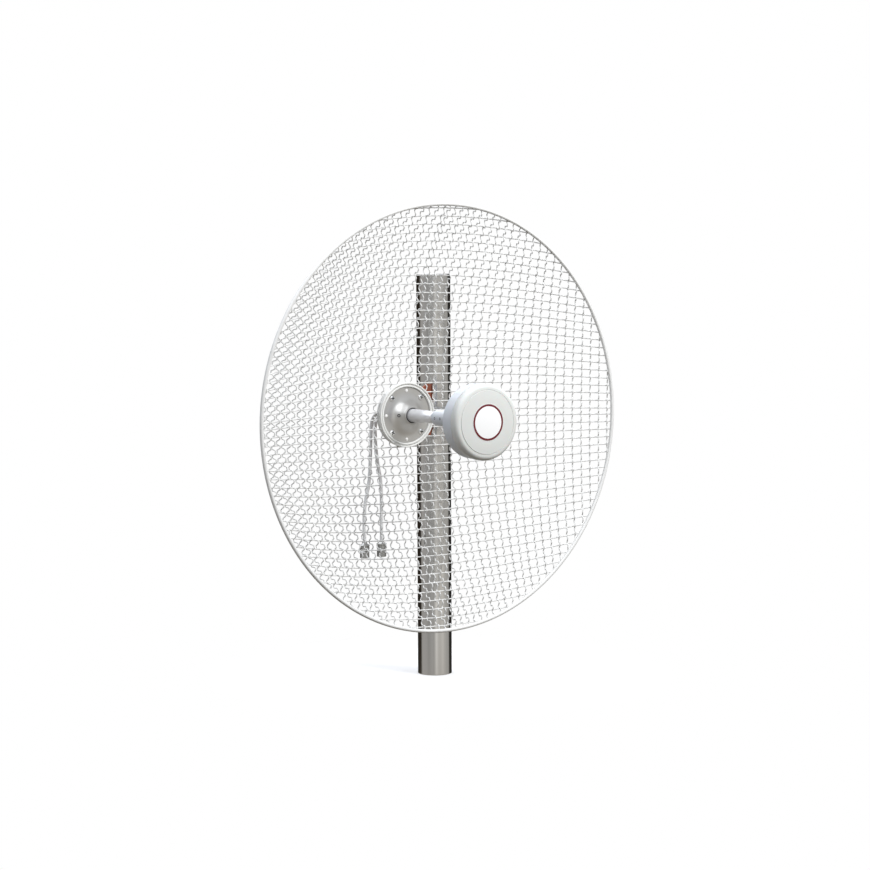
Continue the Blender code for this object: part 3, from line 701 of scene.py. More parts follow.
def metal_finish(name, colour, roughness, speckle, recess_shade=False):
    """Plated or galvanised metal: crystalline patches, fine grain and, where asked, painted shade: recesses
    darkened nearly to black.
    """
    metal = Finish(name, colour, metallic=1.0)
    grain = metal.textured(roughness, fine=1300.0, coarse=speckle, depth=0.00008, strength=0.35)
    cells = node(metal.tree, "ShaderNodeTexVoronoi", feature="F1", in_Scale=speckle * 4.0)
    place = node(metal.tree, "ShaderNodeTexCoord")
    link(metal.tree, place.outputs["Object"], cells.inputs["Vector"])
    tone = node(metal.tree, "ShaderNodeRGBToBW")
    link(metal.tree, cells.outputs["Color"], tone.inputs[0])
    metal.mottle(tone.outputs[0], toned(colour, 0.72), share=0.45, start=0.3, full=0.8)
    metal.mottle(grain["Patches"], toned(colour, 0.8), share=0.4, start=0.5, full=0.8)
    if recess_shade:
        # Painted shade: near-black laid where the recess mask is set, in the screw slots.
        slots = node(metal.tree, "ShaderNodeAttribute", attribute_name="recess")
        metal.mottle(slots.outputs["Fac"], (0.03, 0.03, 0.03), share=1.0, start=0.2, full=0.8)
    return metal.material


def rubber_finish(name, colour, roughness):
    """Moulded rubber or soft sheath: fine pitting, slightly paler in patches."""
    rubber = Finish(name, colour)
    grain = rubber.textured(roughness, fine=1500.0, coarse=55.0, depth=0.0001, strength=0.4)
    rubber.mottle(grain["Patches"], toned(colour, 1.12, 0.01), share=0.5, start=0.45, full=0.75)
    return rubber.material


STEEL = steel_finish()
RIM_WHITE = coated_finish("white_rim_coat", (0.84, 0.84, 0.83), (0.30, 0.50))
WIRE_WHITE = coated_finish("white_wire_coat", (0.84, 0.84, 0.83), (0.22, 0.42))
RING_WHITE = coated_finish("white_hub_ring_coat", (0.90, 0.90, 0.875), (0.30, 0.48))
PLATE_SILVER = cast_finish("silver_hub_casting", (0.55, 0.54, 0.52), 0.72, (0.26, 0.34))
ARM_SILVER = cast_finish("silver_feed_arm_lacquer", (0.82, 0.82, 0.84), 0.28, (0.18, 0.28))
BLUE_PLASTIC = plastic_finish("blue_white_moulding", (0.74, 0.77, 0.82), (0.34, 0.48), (0.68, 0.70, 0.74))
WARM_PLASTIC = plastic_finish("warm_white_moulding", (0.745, 0.758, 0.735), (0.38, 0.52),
                              (0.70, 0.71, 0.685))
LABEL = label_finish()
PRIMER = primer_finish()
ZINC = metal_finish("zinc_plated_fastener", (0.62, 0.62, 0.62), (0.26, 0.42), 60.0)
NICKEL = metal_finish("nickel_plated_connector", (0.44, 0.44, 0.43), (0.20, 0.34), 90.0)
CLAMP = metal_finish("galvanised_clamp_casting", (0.55, 0.56, 0.57), (0.40, 0.62), 28.0)
# Its cross slots get painted shade, near black, through the recess mask.
SCREW_HEAD = metal_finish("zinc_plated_screw_head", (0.92, 0.92, 0.91), (0.30, 0.42), 60.0, recess_shade=True)
RUBBER = rubber_finish("black_bush_rubber", (0.035, 0.035, 0.036), (0.5, 0.75))
SHEATH = rubber_finish("grey_cable_sheath", (0.94, 0.945, 0.95), (0.22, 0.36))
RIVET = coated_finish("white_rivet_coat", (0.98, 0.97, 0.95), (0.35, 0.50))
DARK = rubber_finish("blackened_socket_steel", (0.016, 0.016, 0.017), (0.35, 0.55))


# Cables


def read_off(path, run, wanted):
    """Points of a path at the wanted lengths, from the length run through at each of its points."""
    return np.stack([np.interp(wanted, run, path[:, axis]) for axis in range(3)], axis=1)


def lengths_run(path):
    """Length run through at each point of a path."""
    return np.concatenate([[0.0], np.cumsum(np.linalg.norm(np.diff(path, axis=0), axis=1))])


def smooth_path(points, spacing):
    """Even points on the Catmull-Rom curve through a few given ones, and the curve's length."""
    padded = np.vstack([2 * points[0] - points[1], points, 2 * points[-1] - points[-2]])
    before, here, after, beyond = (padded[i:i + len(points) - 1, None] for i in range(4))
    t = np.linspace(0.0, 1.0, CURVE_STEPS, endpoint=False)[None, :, None]
    dense = 0.5 * (2 * here + (after - before) * t + (2 * before - 5 * here + 4 * after - beyond) * t ** 2
                   + (3 * here - before - 3 * after + beyond) * t ** 3)
    dense = np.vstack([dense.reshape(-1, 3), points[-1:]])
    run = lengths_run(dense)
    return read_off(dense, run, np.linspace(0.0, run[-1], int(round(run[-1] / spacing)) + 1)), run[-1]


LEFT_ROUTE = [
    (-0.0065, CABLE_START, 0.0),
    (-0.0065, 0.0840, 0.0),
    (-0.0066, 0.0970, -0.0025),
    (-0.0066, 0.1100, -0.0110),
    (-0.0066, 0.1170, -0.0220),
    (-0.0068, 0.1198, -0.0350),
    (-0.0074, CABLE_PLANE, -0.0540),
    (-0.0084, CABLE_PLANE, -0.0760),
    (-0.0093, CABLE_PLANE, -0.0990),
    (-0.0104, CABLE_PLANE, -0.1210),
    (-0.0142, CABLE_PLANE, -0.1600),
    (-0.0222, CABLE_PLANE, -0.1940),
    (-0.0262, CABLE_PLANE, -0.2300),
    (-0.0266, CABLE_PLANE, -0.2600),
    (-0.0258, CABLE_PLANE, -0.2750),
    (-0.0258, CABLE_PLANE, -CABLE_END),
]
RIGHT_ROUTE = [
    (0.0065, CABLE_START, 0.0),
    (0.0065, 0.0860, -0.0005),
    (0.0060, 0.0990, -0.0035),
    (0.0052, 0.1100, -0.0110),
    (0.0044, 0.1170, -0.0220),
    (0.0038, 0.1198, -0.0370),
    (0.0041, CABLE_PLANE, -0.0560),
    (0.0050, CABLE_PLANE, -0.0766),
    (0.0076, CABLE_PLANE, -0.0985),
    (0.0110, CABLE_PLANE, -0.1200),
    (0.0172, CABLE_PLANE, -0.1510),
    (0.0193, CABLE_PLANE, -0.1900),
    (0.0192, CABLE_PLANE, -0.2180),
    (0.0190, CABLE_PLANE, -0.2460),
    (0.0188, CABLE_PLANE, -0.2680),
    (0.0187, CABLE_PLANE, -CABLE_END),
]


def make_cable(label, route):
    """Pigtail sheath along its route, with the path that it follows and its length."""
    across, behind, height = np.array(route).T
    path, length = smooth_path(dish(across, -behind, height), CABLE_RADIUS)
    made = piece("cable_sheath_" + label, [swept(path, CABLE_RADIUS, 24, RIGHT)], SHEATH,
                 ["cable_" + label])
    return made, path, length


def make_connector(label):
    """Coaxial connector: ferrule, six-sided body, knurled coupling sleeve with its open end and pin."""
    low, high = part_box("connector_body_" + label)
    sleeve_low, sleeve_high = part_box("connector_sleeve_" + label)
    centre = ((low.x + high.x) / 2.0, (low.y + high.y) / 2.0, 0.0)
    flange = low.z + FLANGE_RISE
    ferrule = [*raised([(0.0030, -0.0006), (0.0052, 0.0), (FERRULE_RADIUS, -0.0008)], high.z),
               *raised([(FERRULE_RADIUS, 0.0030), (0.0068, 0.0004), (0.0068, -0.0010)], flange)]
    collar = [*raised([(0.0060, 0.0), (0.0100, 0.0), (COLLAR_RADIUS, -0.0012), (COLLAR_RADIUS, -0.0034),
                       (BODY_RADIUS, -0.0042)], flange),
              *raised([(BODY_RADIUS, 0.0020), (0.0102, 0.0012), (0.0096, 0.0)], low.z)]
    grip = six_sided(BODY_FLAT, flange - 0.0040, low.z + 0.0022, centre, UP_AXES, 0.0006)
    body = piece("connector_body_metal_" + label,
                 [soft_turned(ferrule, centre, UP_AXES, ease=0.0005, steps=48),
                  soft_turned(collar, centre, UP_AXES, ease=0.0004, steps=64), grip],
                 NICKEL, ["connector_body_" + label])
    start = [(SLEEVE_BORE, 0.0), (0.0090, 0.0), (0.0097, -0.0008), (SLEEVE_RADIUS, -0.0022),
             (SLEEVE_RADIUS, -0.0030)]
    end = [(SLEEVE_RADIUS, 0.0022), (SLEEVE_RADIUS, 0.0014), (0.0098, 0.0002), (0.0094, 0.0),
           (0.0084, 0.0), (SLEEVE_BORE, 0.0006), (SLEEVE_BORE, 0.0120), (0.0035, 0.0124)]
    outline = np.array([*raised(start, sleeve_high.z), *raised(end, sleeve_low.z)])
    depth = np.zeros((len(outline), 1))
    depth[len(start) - 1:len(start) + 1] = KNURL_DEPTH
    angle = round_angles(144)
    size = outline[:, :1] - depth * (0.5 + 0.5 * np.cos(KNURLS * angle))
    tube = patch(round_grid(centre, size, angle, outline[:, 1:], UP_AXES))
    pin = raised([(0.0003, 0.0040), (0.0010, 0.0046), (PIN_RADIUS, 0.0062), (PIN_RADIUS, 0.0130)],
                 sleeve_low.z)
    sleeve = piece("connector_sleeve_metal_" + label,
                   [tube, soft_turned(pin, centre, UP_AXES, ease=0.0003, steps=24)],
                   NICKEL, ["connector_sleeve_" + label])
    return [body, sleeve]


def make_gland(label):
    """Cable gland behind the bush: washer, hexagon and domed nut."""
    low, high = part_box("cable_gland_" + label)
    centre = ((low.x + high.x) / 2.0, 0.0, (low.z + high.z) / 2.0)
    front, back = low.y, high.y
    base = front + WASHER
    dome = [*raised([(0.0040, 0.0066), (0.0056, 0.0068), (0.0056, 0.0094), (0.0050, 0.0118)], front),
            (0.0047, back - 0.0006), (0.0040, back)]
    piece("cable_gland_metal_" + label,
          [washer(0.0040, 0.0062, front, base, centre, BACK_AXES, ease=0.0003),
           six_sided(GLAND_FLAT, base, front + 0.0068, centre, BACK_AXES),
           soft_turned(dome, centre, BACK_AXES, ease=0.0007, steps=48)],
          ZINC, ["cable_gland_" + label])


def make_strain_relief(label, path):
    """Tapered rubber sleeve round the start of a cable, with ribs that are the upper half of a sine."""
    run = np.linspace(0.0, RELIEF_LENGTH, 61)
    ribs = RIB_HEIGHT * np.clip(np.sin(run / RIB_PITCH * TAU), 0.0, 1.0)
    ribs[:3] = ribs[-3:] = 0.0
    radius = RELIEF_RADIUS - RELIEF_TAPER * run / run[-1] + ribs
    radius[-1] = CABLE_RADIUS + 0.0001
    centre = read_off(path, lengths_run(path), run)
    return piece("strain_relief_" + label, [swept(centre, radius, 24, RIGHT)], RUBBER)


def make_pigtails():
    """Both cables with what is on them."""
    for label, route in (("left", LEFT_ROUTE), ("right", RIGHT_ROUTE)):
        cable, path, length = make_cable(label, route)
        relief = make_strain_relief(label, path)
        ends = make_connector(label)
        make_gland(label)


# Mast and rim


def make_mast():
    """Round tube with its open upper end and the disc that closes its foot."""
    inner = MAST_RADIUS - MAST_WALL
    profile = [(CORE, 0.0), (MAST_RADIUS - 0.0012, 0.0), (MAST_RADIUS, 0.0012),
               (MAST_RADIUS, MAST_HEIGHT - 0.0006), (MAST_RADIUS - 0.0006, MAST_HEIGHT),
               (inner + 0.0005, MAST_HEIGHT), (inner, MAST_HEIGHT - 0.0005), (inner, MAST_FOOT),
               (CORE, MAST_FOOT)]
    piece("mast_polished_tube",
          [soft_turned(profile, (0.0, 0.0, 0.0), UP_AXES, ease=0.0003, steps=144)], STEEL,
          ["mast_tube"])


def make_rim():
    """Ring of round bar: centre circle of the rim radius carrying a circle of the bar's radius."""
    station = RIM_RADIUS ** 2 / (4.0 * FOCAL_LENGTH)
    angle = round_angles(20)
    profile = np.stack([RIM_RADIUS + RIM_TUBE * np.cos(angle), station + RIM_TUBE * np.sin(angle)], axis=-1)
    piece("rim_bar", [turned(profile, steps=256, ring=True)], RIM_WHITE, ["rim_ring"],
          sharp=180.0)


# Mesh of crimped wires


def net(run, place, weave):
    """Dish coordinates of a wire's place p and the distance r along it, closed up near the rim.

    The first is p (1 - along p^2 - across r^2 - own p^4 - run r^4 - both p^2 r^2). The other one is the
    same with p and r changed over.
    """
    def closed_up(p, r):
        far = OWN_TERM * p ** 4 + weave["run"] * r ** 4 + weave["both"] * (p * r) ** 2
        return p * (1.0 - weave["along"] * p ** 2 - weave["across"] * r ** 2 - far)

    return closed_up(place, run), closed_up(run, place)


def wire_line(run, index, weave, beat, wave, upright, side, rise):
    """Points of one half wire on the dish, the dish's normals there and the distance from its axis.

    The wave has one beat a cell, squared off: w (cos t - .2 cos 3t + .09 cos 2t) off the surface.
    """
    turn = TAU * (run / PITCH - beat)
    first = weave["first"] + weave["shift"] * smooth_step(run / SHIFT_REACH)
    own, other = net(run, (first + index) * PITCH, weave)
    u, v = (side * own, rise * other) if upright else (side * other, rise * own)
    u, v = NET_MIDDLE[0] + u - NET_TWIST * v, NET_MIDDLE[1] + v + NET_TWIST * u
    radius = np.hypot(u, v)
    calm = smooth_step((radius - HUB_CLAMP) / HUB_CALM) * smooth_step((RIM_RADIUS - radius) / RIM_CALM)
    lift = calm * (wave if index % 2 == 0 else -wave) * (
        np.cos(turn) + SECOND_SHARE * np.cos(2.0 * turn) - THIRD_SHARE * np.cos(3.0 * turn))
    lift = lift + (WIRE_RADIUS if upright else -WIRE_RADIUS) * LAYER_SHARE
    normal = unit(np.stack([-u / (2.0 * FOCAL_LENGTH), -np.ones_like(u), -v / (2.0 * FOCAL_LENGTH)],
                           axis=-1))
    path = dish(u, (u * u + v * v) / (4.0 * FOCAL_LENGTH), v) + normal * lift[:, None]
    return path, normal, radius


def mesh_wire(index, weave, beat, wave, upright, side, rise):
    """One half wire from the middle of the dish, or from the hub, to the rim; none where it is too short."""
    def line(run):
        """The wire's line at the stated distances along it."""
        return wire_line(run, index, weave, beat, wave, upright, side, rise)

    reach = np.linspace(0.0, LONGEST_RUN, RUN_STEPS)
    rising = np.maximum.accumulate(line(reach)[2])
    outer = RIM_RADIUS - 0.5 * RIM_TUBE
    if rising[0] > outer:
        return None
    start = 0.0 if rising[0] > MESH_START else float(np.interp(MESH_START, rising, reach))
    end = float(np.interp(outer, rising, reach))
    if end - start < SHORTEST_SHARE * PITCH:
        return None
    steps = UPRIGHT_STEPS if upright else ROW_STEPS
    count = max(4, int(round((end - start) / PITCH * steps)) + 1)
    path, normal, _ = line(np.linspace(start, end, count))
    return swept(path, WIRE_RADIUS, WIRE_SIDES, normal)


def make_mesh():
    """Four quarters of the reflector, each a set of half wires both ways."""
    for column, side in (("left", -1.0), ("right", 1.0)):
        for row, rise in (("lower", -1.0), ("upper", 1.0)):
            upright, level = UPRIGHTS[f"{row}_{column}"], ROWS[f"{row}_{column}"]
            both = ((upright, level["first"], UPRIGHT_WAVE[column], True),
                    (level, upright["first"], ROW_WAVE[column], False))
            wires = [mesh_wire(index, *kind, side, rise) for kind in both for index in range(LINES_EACH_WAY)]
            piece(f"crimped_wires_{row}_{column}", [wire for wire in wires if wire is not None],
                  WIRE_WHITE, [f"mesh_{row}_{column}"], sharp=70.0)


# Hub


def make_hub_ring():
    """White clamping ring: two round beads with a deep groove between them."""
    profile = [(RING_BORE, RING_BACK), (HUB_RADIUS, RING_BACK), (HUB_RADIUS, 0.0130), (0.0690, 0.0143),
               (0.0668, 0.0138), (0.0662, 0.0118), (0.0660, 0.0096), (0.0650, 0.0096),
               (0.0648, 0.0118), (0.0642, 0.0132), (0.0618, 0.0134), (0.0606, 0.0126),
               (RING_BORE, 0.0112)]
    piece("hub_clamping_ring", [soft_turned(profile, ease=0.0006, steps=192, ring=True, ease_steps=5)],
          RING_WHITE, ["hub_front_ring"], sharp=60.0)


def make_hub_plate():
    """Plate that rises as share ^ power to the neck, which has a groove, a chamfer and a black seal inside
    whose colour paints the groove's shade.
    """
    share = np.linspace(0.0, 1.0, 33)
    flare = np.stack([FLARE_RADIUS + (NECK_RADIUS - FLARE_RADIUS) * share,
                      PLATE_FRONT + (NECK_FRONT - NECK_LIP - PLATE_FRONT) * share ** FLARE_POWER], axis=-1)
    groove = NECK_RADIUS - NECK_GROOVE
    neck = raised([(groove, -0.0031), (groove, -0.0024), (NECK_RADIUS, -0.0020), (NECK_RADIUS, -0.0008),
                   (NECK_RADIUS - 0.0010, 0.0), (0.0172, 0.0), (0.0165, -0.0006), (0.0164, -0.0030),
                   (HUB_BORE, -0.0032)], NECK_FRONT)
    plate = [(HUB_BORE, PLATE_BACK), (PLATE_RADIUS, PLATE_BACK), (PLATE_RADIUS, PLATE_FRONT - 0.0006),
             (PLATE_RADIUS - 0.0006, PLATE_FRONT), (0.0570, PLATE_FRONT), (0.0540, PLATE_FRONT),
             *flare, *neck]
    piece("hub_plate_casting", [turned(plate, steps=192, ring=True)], PLATE_SILVER,
          ["hub_plate"], sharp=42.0)
    # Painted shade: a black seal ring fills the bottom of the neck groove so that the groove reads dark.
    inner = ARM_ROOT + 0.0002
    shade_seal = [(inner, SHADE_SEAL_BACK), (SHADE_SEAL_RADIUS, SHADE_SEAL_BACK), (SHADE_SEAL_RADIUS, NECK_FRONT - 0.0014),
            (inner, NECK_FRONT - 0.0012)]
    piece("neck_groove_shade_seal", [soft_turned(shade_seal, ease=0.0005, steps=128, ring=True)], DARK)


def facing_axes(normal):
    """Two directions in an upright face and the one out of it."""
    along = unit(np.asarray(normal, float))
    side = unit(np.cross(UP, along))
    return side, np.cross(along, side), along


def rivet_head(centre):
    """Dome on the plate: height sqrt(1 - (r / radius)^2), sunk a little in what it holds."""
    share = np.cos(np.linspace(0.0, math.pi / 2.0 - 0.06, 10))
    dome = [(RIVET_RADIUS * part, RIVET_HEIGHT * math.sqrt(max(0.0, 1.0 - part * part))) for part in share]
    return turned([(RIVET_RADIUS, -HEAD_SUNK), *dome], centre, steps=32)


def slot_bar(near, far):
    """1 inside a bar across a screw head, in shares of its radius, and 0 outside with soft edges."""
    return (smooth_step((SLOT_HALF - np.abs(near)) / SLOT_EDGE)
            * smooth_step((SLOT_REACH - np.abs(far)) / SLOT_RUNOUT))


def cross_screw(centre, twist):
    """Pan head h (1 - .28 r^2 - .72 r^8) less a cross of two slots; gives its patch and the slots' mask."""
    ring = np.concatenate([[0.0012], np.linspace(0.06, 1.0, 30)])
    r, a = np.meshgrid(ring, round_angles(96), indexing="ij")
    x, y = r * np.cos(a + twist), r * np.sin(a + twist)
    slot = np.maximum(slot_bar(x, y), slot_bar(y, x))
    dome = SCREW_HEIGHT * (1.0 - 0.28 * r ** 2 - 0.72 * r ** 8)
    depth = SCREW_HEIGHT * (0.75 - 0.25 * np.clip(r / SLOT_REACH, 0.0, 1.0))
    skirt = np.ones((1, a.shape[1]))
    lift = np.concatenate([dome - slot * depth, -HEAD_SUNK * skirt])
    slot = np.concatenate([slot, 0.0 * skirt])
    r = np.concatenate([r, skirt])
    points = round_grid(centre, SCREW_RADIUS * r, np.concatenate([a, a[:1]]), lift, DISH_AXES)
    return patch(points), slot.ravel()


def set_screw(centre, axes, *, radius, depth):
    """Socket set screw: a ring whose bore is a hexagon sunk below its face."""
    angle = round_angles(36)
    full = np.ones_like(angle)
    socket = hexagon(0.50, angle)
    size = np.stack([full, full, full * 0.90, socket, socket, full * 0.05])
    lift = np.array([-0.0020, 0.0, 0.00015, 0.00015, -depth, -depth - 0.0004])[:, None]
    return patch(round_grid(centre, radius * size, angle, lift, axes))


def on_circle(station, start):
    """Four places a quarter turn apart on the circle of fasteners, from a start in quarter turns."""
    turn = (np.arange(4) + start) * TAU / 4.0
    return dish(FASTENER_CIRCLE * np.cos(turn), station, FASTENER_CIRCLE * np.sin(turn))


def make_hub_fasteners():
    """Four rivets and four cross-slot screws on one circle of the plate, and the neck's set screw."""
    piece("hub_rivets", [rivet_head(centre) for centre in on_circle(PLATE_FRONT, 0.0)], RIVET)
    heads = [cross_screw(*place) for place in zip(on_circle(PLATE_FRONT, 0.5), SCREW_TWISTS)]
    piece("hub_cross_slot_screws", [head for head, _ in heads], SCREW_HEAD,
          recess=np.concatenate([slot for _, slot in heads]))
    screw = set_screw(dish(*NECK_SCREW_PLACE), facing_axes(NECK_SCREW_FACING), radius=0.0035, depth=0.0024)
    piece("neck_set_screw", [screw], DARK, sharp=30.0)


def make_hub_back():
    """Plate behind the mesh, stepped housing, the nuts on the screws' ends, and the bush."""
    backing = [(HUB_BORE, REAR_PLATE_FRONT), (REAR_PLATE_RADIUS, REAR_PLATE_FRONT),
               (REAR_PLATE_RADIUS, REAR_PLATE_BACK + 0.0008), (REAR_PLATE_RADIUS - 0.0008, REAR_PLATE_BACK),
               (HUB_BORE, REAR_PLATE_BACK)]
    piece("hub_rear_plate_casting", [soft_turned(backing, ease=0.0005, steps=160, ring=True)], RING_WHITE,
          ["hub_rear_plate"])
    step = REAR_PLATE_BACK - SEAT
    housing = [(0.0365, step), (0.0440, step), (0.0440, -0.0096), (0.0425, -0.0103),
               (0.0405, -0.0106), (0.0390, -0.0125), (0.0318, HOUSING_BACK + 0.0020),
               (0.0300, HOUSING_BACK), (HOUSING_BORE, HOUSING_BACK),
               (HOUSING_BORE, HOUSING_BACK + HOUSING_WALL), (0.0262, HOUSING_BACK + HOUSING_WALL)]
    piece("rear_housing_casting", [soft_turned(housing, ease=0.0012, steps=144, ring=True, ease_steps=5)],
          PLATE_SILVER, ["hub_rear_housing"], sharp=50.0)
    nuts = []
    for centre in on_circle(REAR_PLATE_BACK, 0.5):
        nuts += [washer(0.0030, 0.0064, 0.0, REAR_WASHER, centre, BACK_AXES, steps=36),
                 six_sided(REAR_NUT_FLAT, REAR_WASHER, 0.0042, centre, BACK_AXES),
                 threaded(REAR_BOLT_RADIUS, 0.0036, 0.0068, centre, BACK_AXES, depth=0.00025,
                          lead=REAR_BOLT_LEAD, steps=32)]
    piece("hub_rear_nuts", nuts, ZINC, sharp=30.0)
    bush = [(CORE, 0.0), (0.0138, 0.0), (BUSH_RADIUS, -0.0012), (BUSH_RADIUS, -0.0060), (0.0146, -0.0068),
            (BUSH_RADIUS, -0.0076), (BUSH_RADIUS, -0.0210), (CORE, -0.0216)]
    piece("outlet_bush_rubber",
          [soft_turned(bush, (VERTEX[0], BUSH_BACK, VERTEX[2]), BACK_AXES, ease=0.0006, steps=96)],
          RUBBER, ["outlet_bush"])


# Feed


def make_arm():
    """Tube that tapers along a quarter ellipse from its root to its tip."""
    taper = quarter((ARM_ROOT, TAPER_START), (ARM_TIP, TAPER_END), 17, False)
    arm = [(ARM_INSIDE, ARM_BACK + 0.0002), (ARM_ROOT, ARM_BACK), *taper, (ARM_TIP, ARM_FRONT),
           (ARM_INSIDE, ARM_FRONT)]
    piece("feed_arm_lacquered", [turned(arm, steps=112, ring=True)], ARM_SILVER,
          ["feed_arm_tube"])


def make_socket():
    """Socket over the arm's tip with a rounded shoulder, and two set screws in its left side."""
    shoulder = quarter((ARM_TIP + 0.0010, SOCKET_BACK), (SOCKET_RADIUS, SOCKET_BACK + 0.0125), 13, True)
    socket = [(CORE, ARM_FRONT + SEAT), (ARM_TIP + SEAT, ARM_FRONT + SEAT), (ARM_TIP + SEAT, SOCKET_BACK),
              *shoulder, (SOCKET_RADIUS, SOCKET_FRONT - 0.0008), (SOCKET_RADIUS - 0.0008, SOCKET_FRONT),
              (CORE, SOCKET_FRONT)]
    piece("feed_socket_moulding", [turned(socket, steps=112)], BLUE_PLASTIC,
          ["feed_socket"])
    screws = [set_screw(dish(-SOCKET_RADIUS + 0.0001, station, 0.0), facing_axes(-RIGHT), radius=0.0027,
                        depth=0.0020) for station in SOCKET_SCREW_STATIONS]
    piece("socket_set_screws", screws, DARK, sharp=30.0)


def make_drum():
    """Cone that flares along a quarter ellipse to the drum, and the drum with its eased edges."""
    horn = quarter((0.0212, SOCKET_FRONT + 0.0030), (CONE_RADIUS, DRUM_BACK - 0.0012), 29, False)
    cone = [(CORE, SOCKET_FRONT + SEAT), (CONE_ROOT, SOCKET_FRONT + SEAT), *horn,
            (CONE_RADIUS, DRUM_BACK - SEAT), (CORE, DRUM_BACK - SEAT)]
    piece("feed_back_cone_moulding", [turned(cone, steps=144)], BLUE_PLASTIC,
          ["feed_back_cone"])
    drum = [(CORE, DRUM_BACK), (0.0726, DRUM_BACK), (0.0762, DRUM_BACK + 0.0010),
            (DRUM_RADIUS, DRUM_BACK + 0.0046), (COVER_RADIUS - 0.0006, DRUM_FRONT - 0.0006),
            (COVER_RADIUS - 0.0012, DRUM_FRONT), (CORE, DRUM_FRONT)]
    piece("radome_drum_moulding", [soft_turned(drum, ease=0.0022, steps=192, ease_steps=5)],
          BLUE_PLASTIC, ["radome_drum"], sharp=50.0)


def make_cover():
    """Cover with an elliptic edge, a groove and a crown that is a quarter of a sine, and its label."""
    edge = quarter((COVER_RADIUS, COVER_EDGE), (0.0690, COVER_SHOULDER), 17, False)
    share = np.linspace(0.0, 1.0, 25)
    crown = np.stack([CROWN_RADIUS - (CROWN_RADIUS - LABEL_RADIUS) * share,
                      CROWN_START + (COVER_FRONT - CROWN_START) * np.sin(share * math.pi / 2.0)], axis=-1)
    cover = [(CORE, DRUM_FRONT + SEAT), (COVER_RADIUS - 0.0010, DRUM_FRONT + SEAT),
             (COVER_RADIUS, DRUM_FRONT + 0.0016), *edge, (0.0672, COVER_SHOULDER + 0.0003),
             (0.0668, COVER_GROOVE), (0.0660, COVER_GROOVE), *crown, (CORE, COVER_FRONT)]
    piece("radome_cover_moulding", [turned(cover, steps=192)], WARM_PLASTIC,
          ["radome_cover"])
    label = [(0.0010, LABEL_BACK), (LABEL_RADIUS, LABEL_BACK), (LABEL_RADIUS, LABEL_FRONT),
             (0.0010, LABEL_FRONT)]
    piece("round_label_film", [soft_turned(label, ease=0.0002, steps=128)], LABEL,
          ["label_disc"])


# Bracket and clamp


def softened_copy(source, name, look, width):
    """Copy of a plate or block from the frame, merged, flattened to whole faces and given round edges."""
    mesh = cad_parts[source].data.copy()
    mesh.name = name
    work = bmesh.new()
    work.from_mesh(mesh)
    bmesh.ops.remove_doubles(work, verts=work.verts, dist=1e-6)
    bmesh.ops.dissolve_limit(work, angle_limit=math.radians(1.0), verts=work.verts, edges=work.edges)
    work.to_mesh(mesh)
    work.free()
    mesh.materials.clear()
    shade(mesh, look, 40.0)
    made = show(name, mesh)
    edge = made.modifiers.new("round edges", "BEVEL")
    edge.width = width
    edge.segments = 3
    edge.limit_method = "ANGLE"
    edge.angle_limit = math.radians(40.0)
    edge.harden_normals = True
    finish_piece(made, [source])


def make_bolt(place):
    """Clamp bolt: thread, shank, and a washer and a hexagon at each end."""
    low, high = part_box("clamp_bolt_" + place)
    centre = (0.0, (low.y + high.y) / 2.0, (low.z + high.z) / 2.0)
    nut_face = low.x + NUT_FACE
    head_face = high.x - HEAD_FACE
    shank = [(SHANK_RADIUS, low.x + 0.0002), (SHANK_RADIUS, high.x - 0.0010)]
    patches = [threaded(BOLT_RADIUS, low.x, nut_face + 0.0030, centre, SIDE_AXES, depth=0.0003,
                        lead=BOLT_LEAD, steps=36),
               turned(shank, centre, SIDE_AXES, steps=36)]
    for face, way, reach in ((nut_face, -1.0, NUT_REACH), (head_face, 1.0, HEAD_FACE)):
        seat = face + way * WASHER
        patches += [washer(0.0033, 0.0068, face, seat, centre, SIDE_AXES),
                    six_sided(BOLT_FLAT, seat, face + way * reach, centre, SIDE_AXES)]
    piece("clamp_bolt_zinc_" + place, patches, ZINC, ["clamp_bolt_" + place], sharp=30.0)


def make_bracket():
    """Primed bracket and gussets, galvanised clamp halves, and the four bolts."""
    for source, width in (("bracket_angle", 0.0006), ("gusset_upper", 0.0005), ("gusset_lower", 0.0005)):
        softened_copy(source, source + "_plate", PRIMER, width)
    for source in ("clamp_saddle", "clamp_strap"):
        softened_copy(source, source + "_casting", CLAMP, 0.0010)
    for place in ("front_upper", "front_lower", "back_upper", "back_lower"):
        make_bolt(place)


make_pigtails()
make_mast()
make_rim()
make_mesh()
make_hub_ring()
make_hub_plate()
make_hub_fasteners()
make_hub_back()
make_arm()
make_socket()
make_drum()
make_cover()
make_bracket()


# Studio

FLOOR_RADIUS = 0.9
FLOOR_FADE = (0.02, 0.55)
WHITE = (1.0, 1.0, 1.0)

# Lamps: name, place, size, power and colour
LAMPS = [
    ("key_from_upper_right", (1.07, -2.6, 2.9), (1.3, 1.3), 96.0, (1.0, 0.995, 0.985)),
    ("front_fill", (-0.6, -3.6, 0.9), (2.4, 1.6), 8.0, (1.0, 0.99, 0.97)),
]

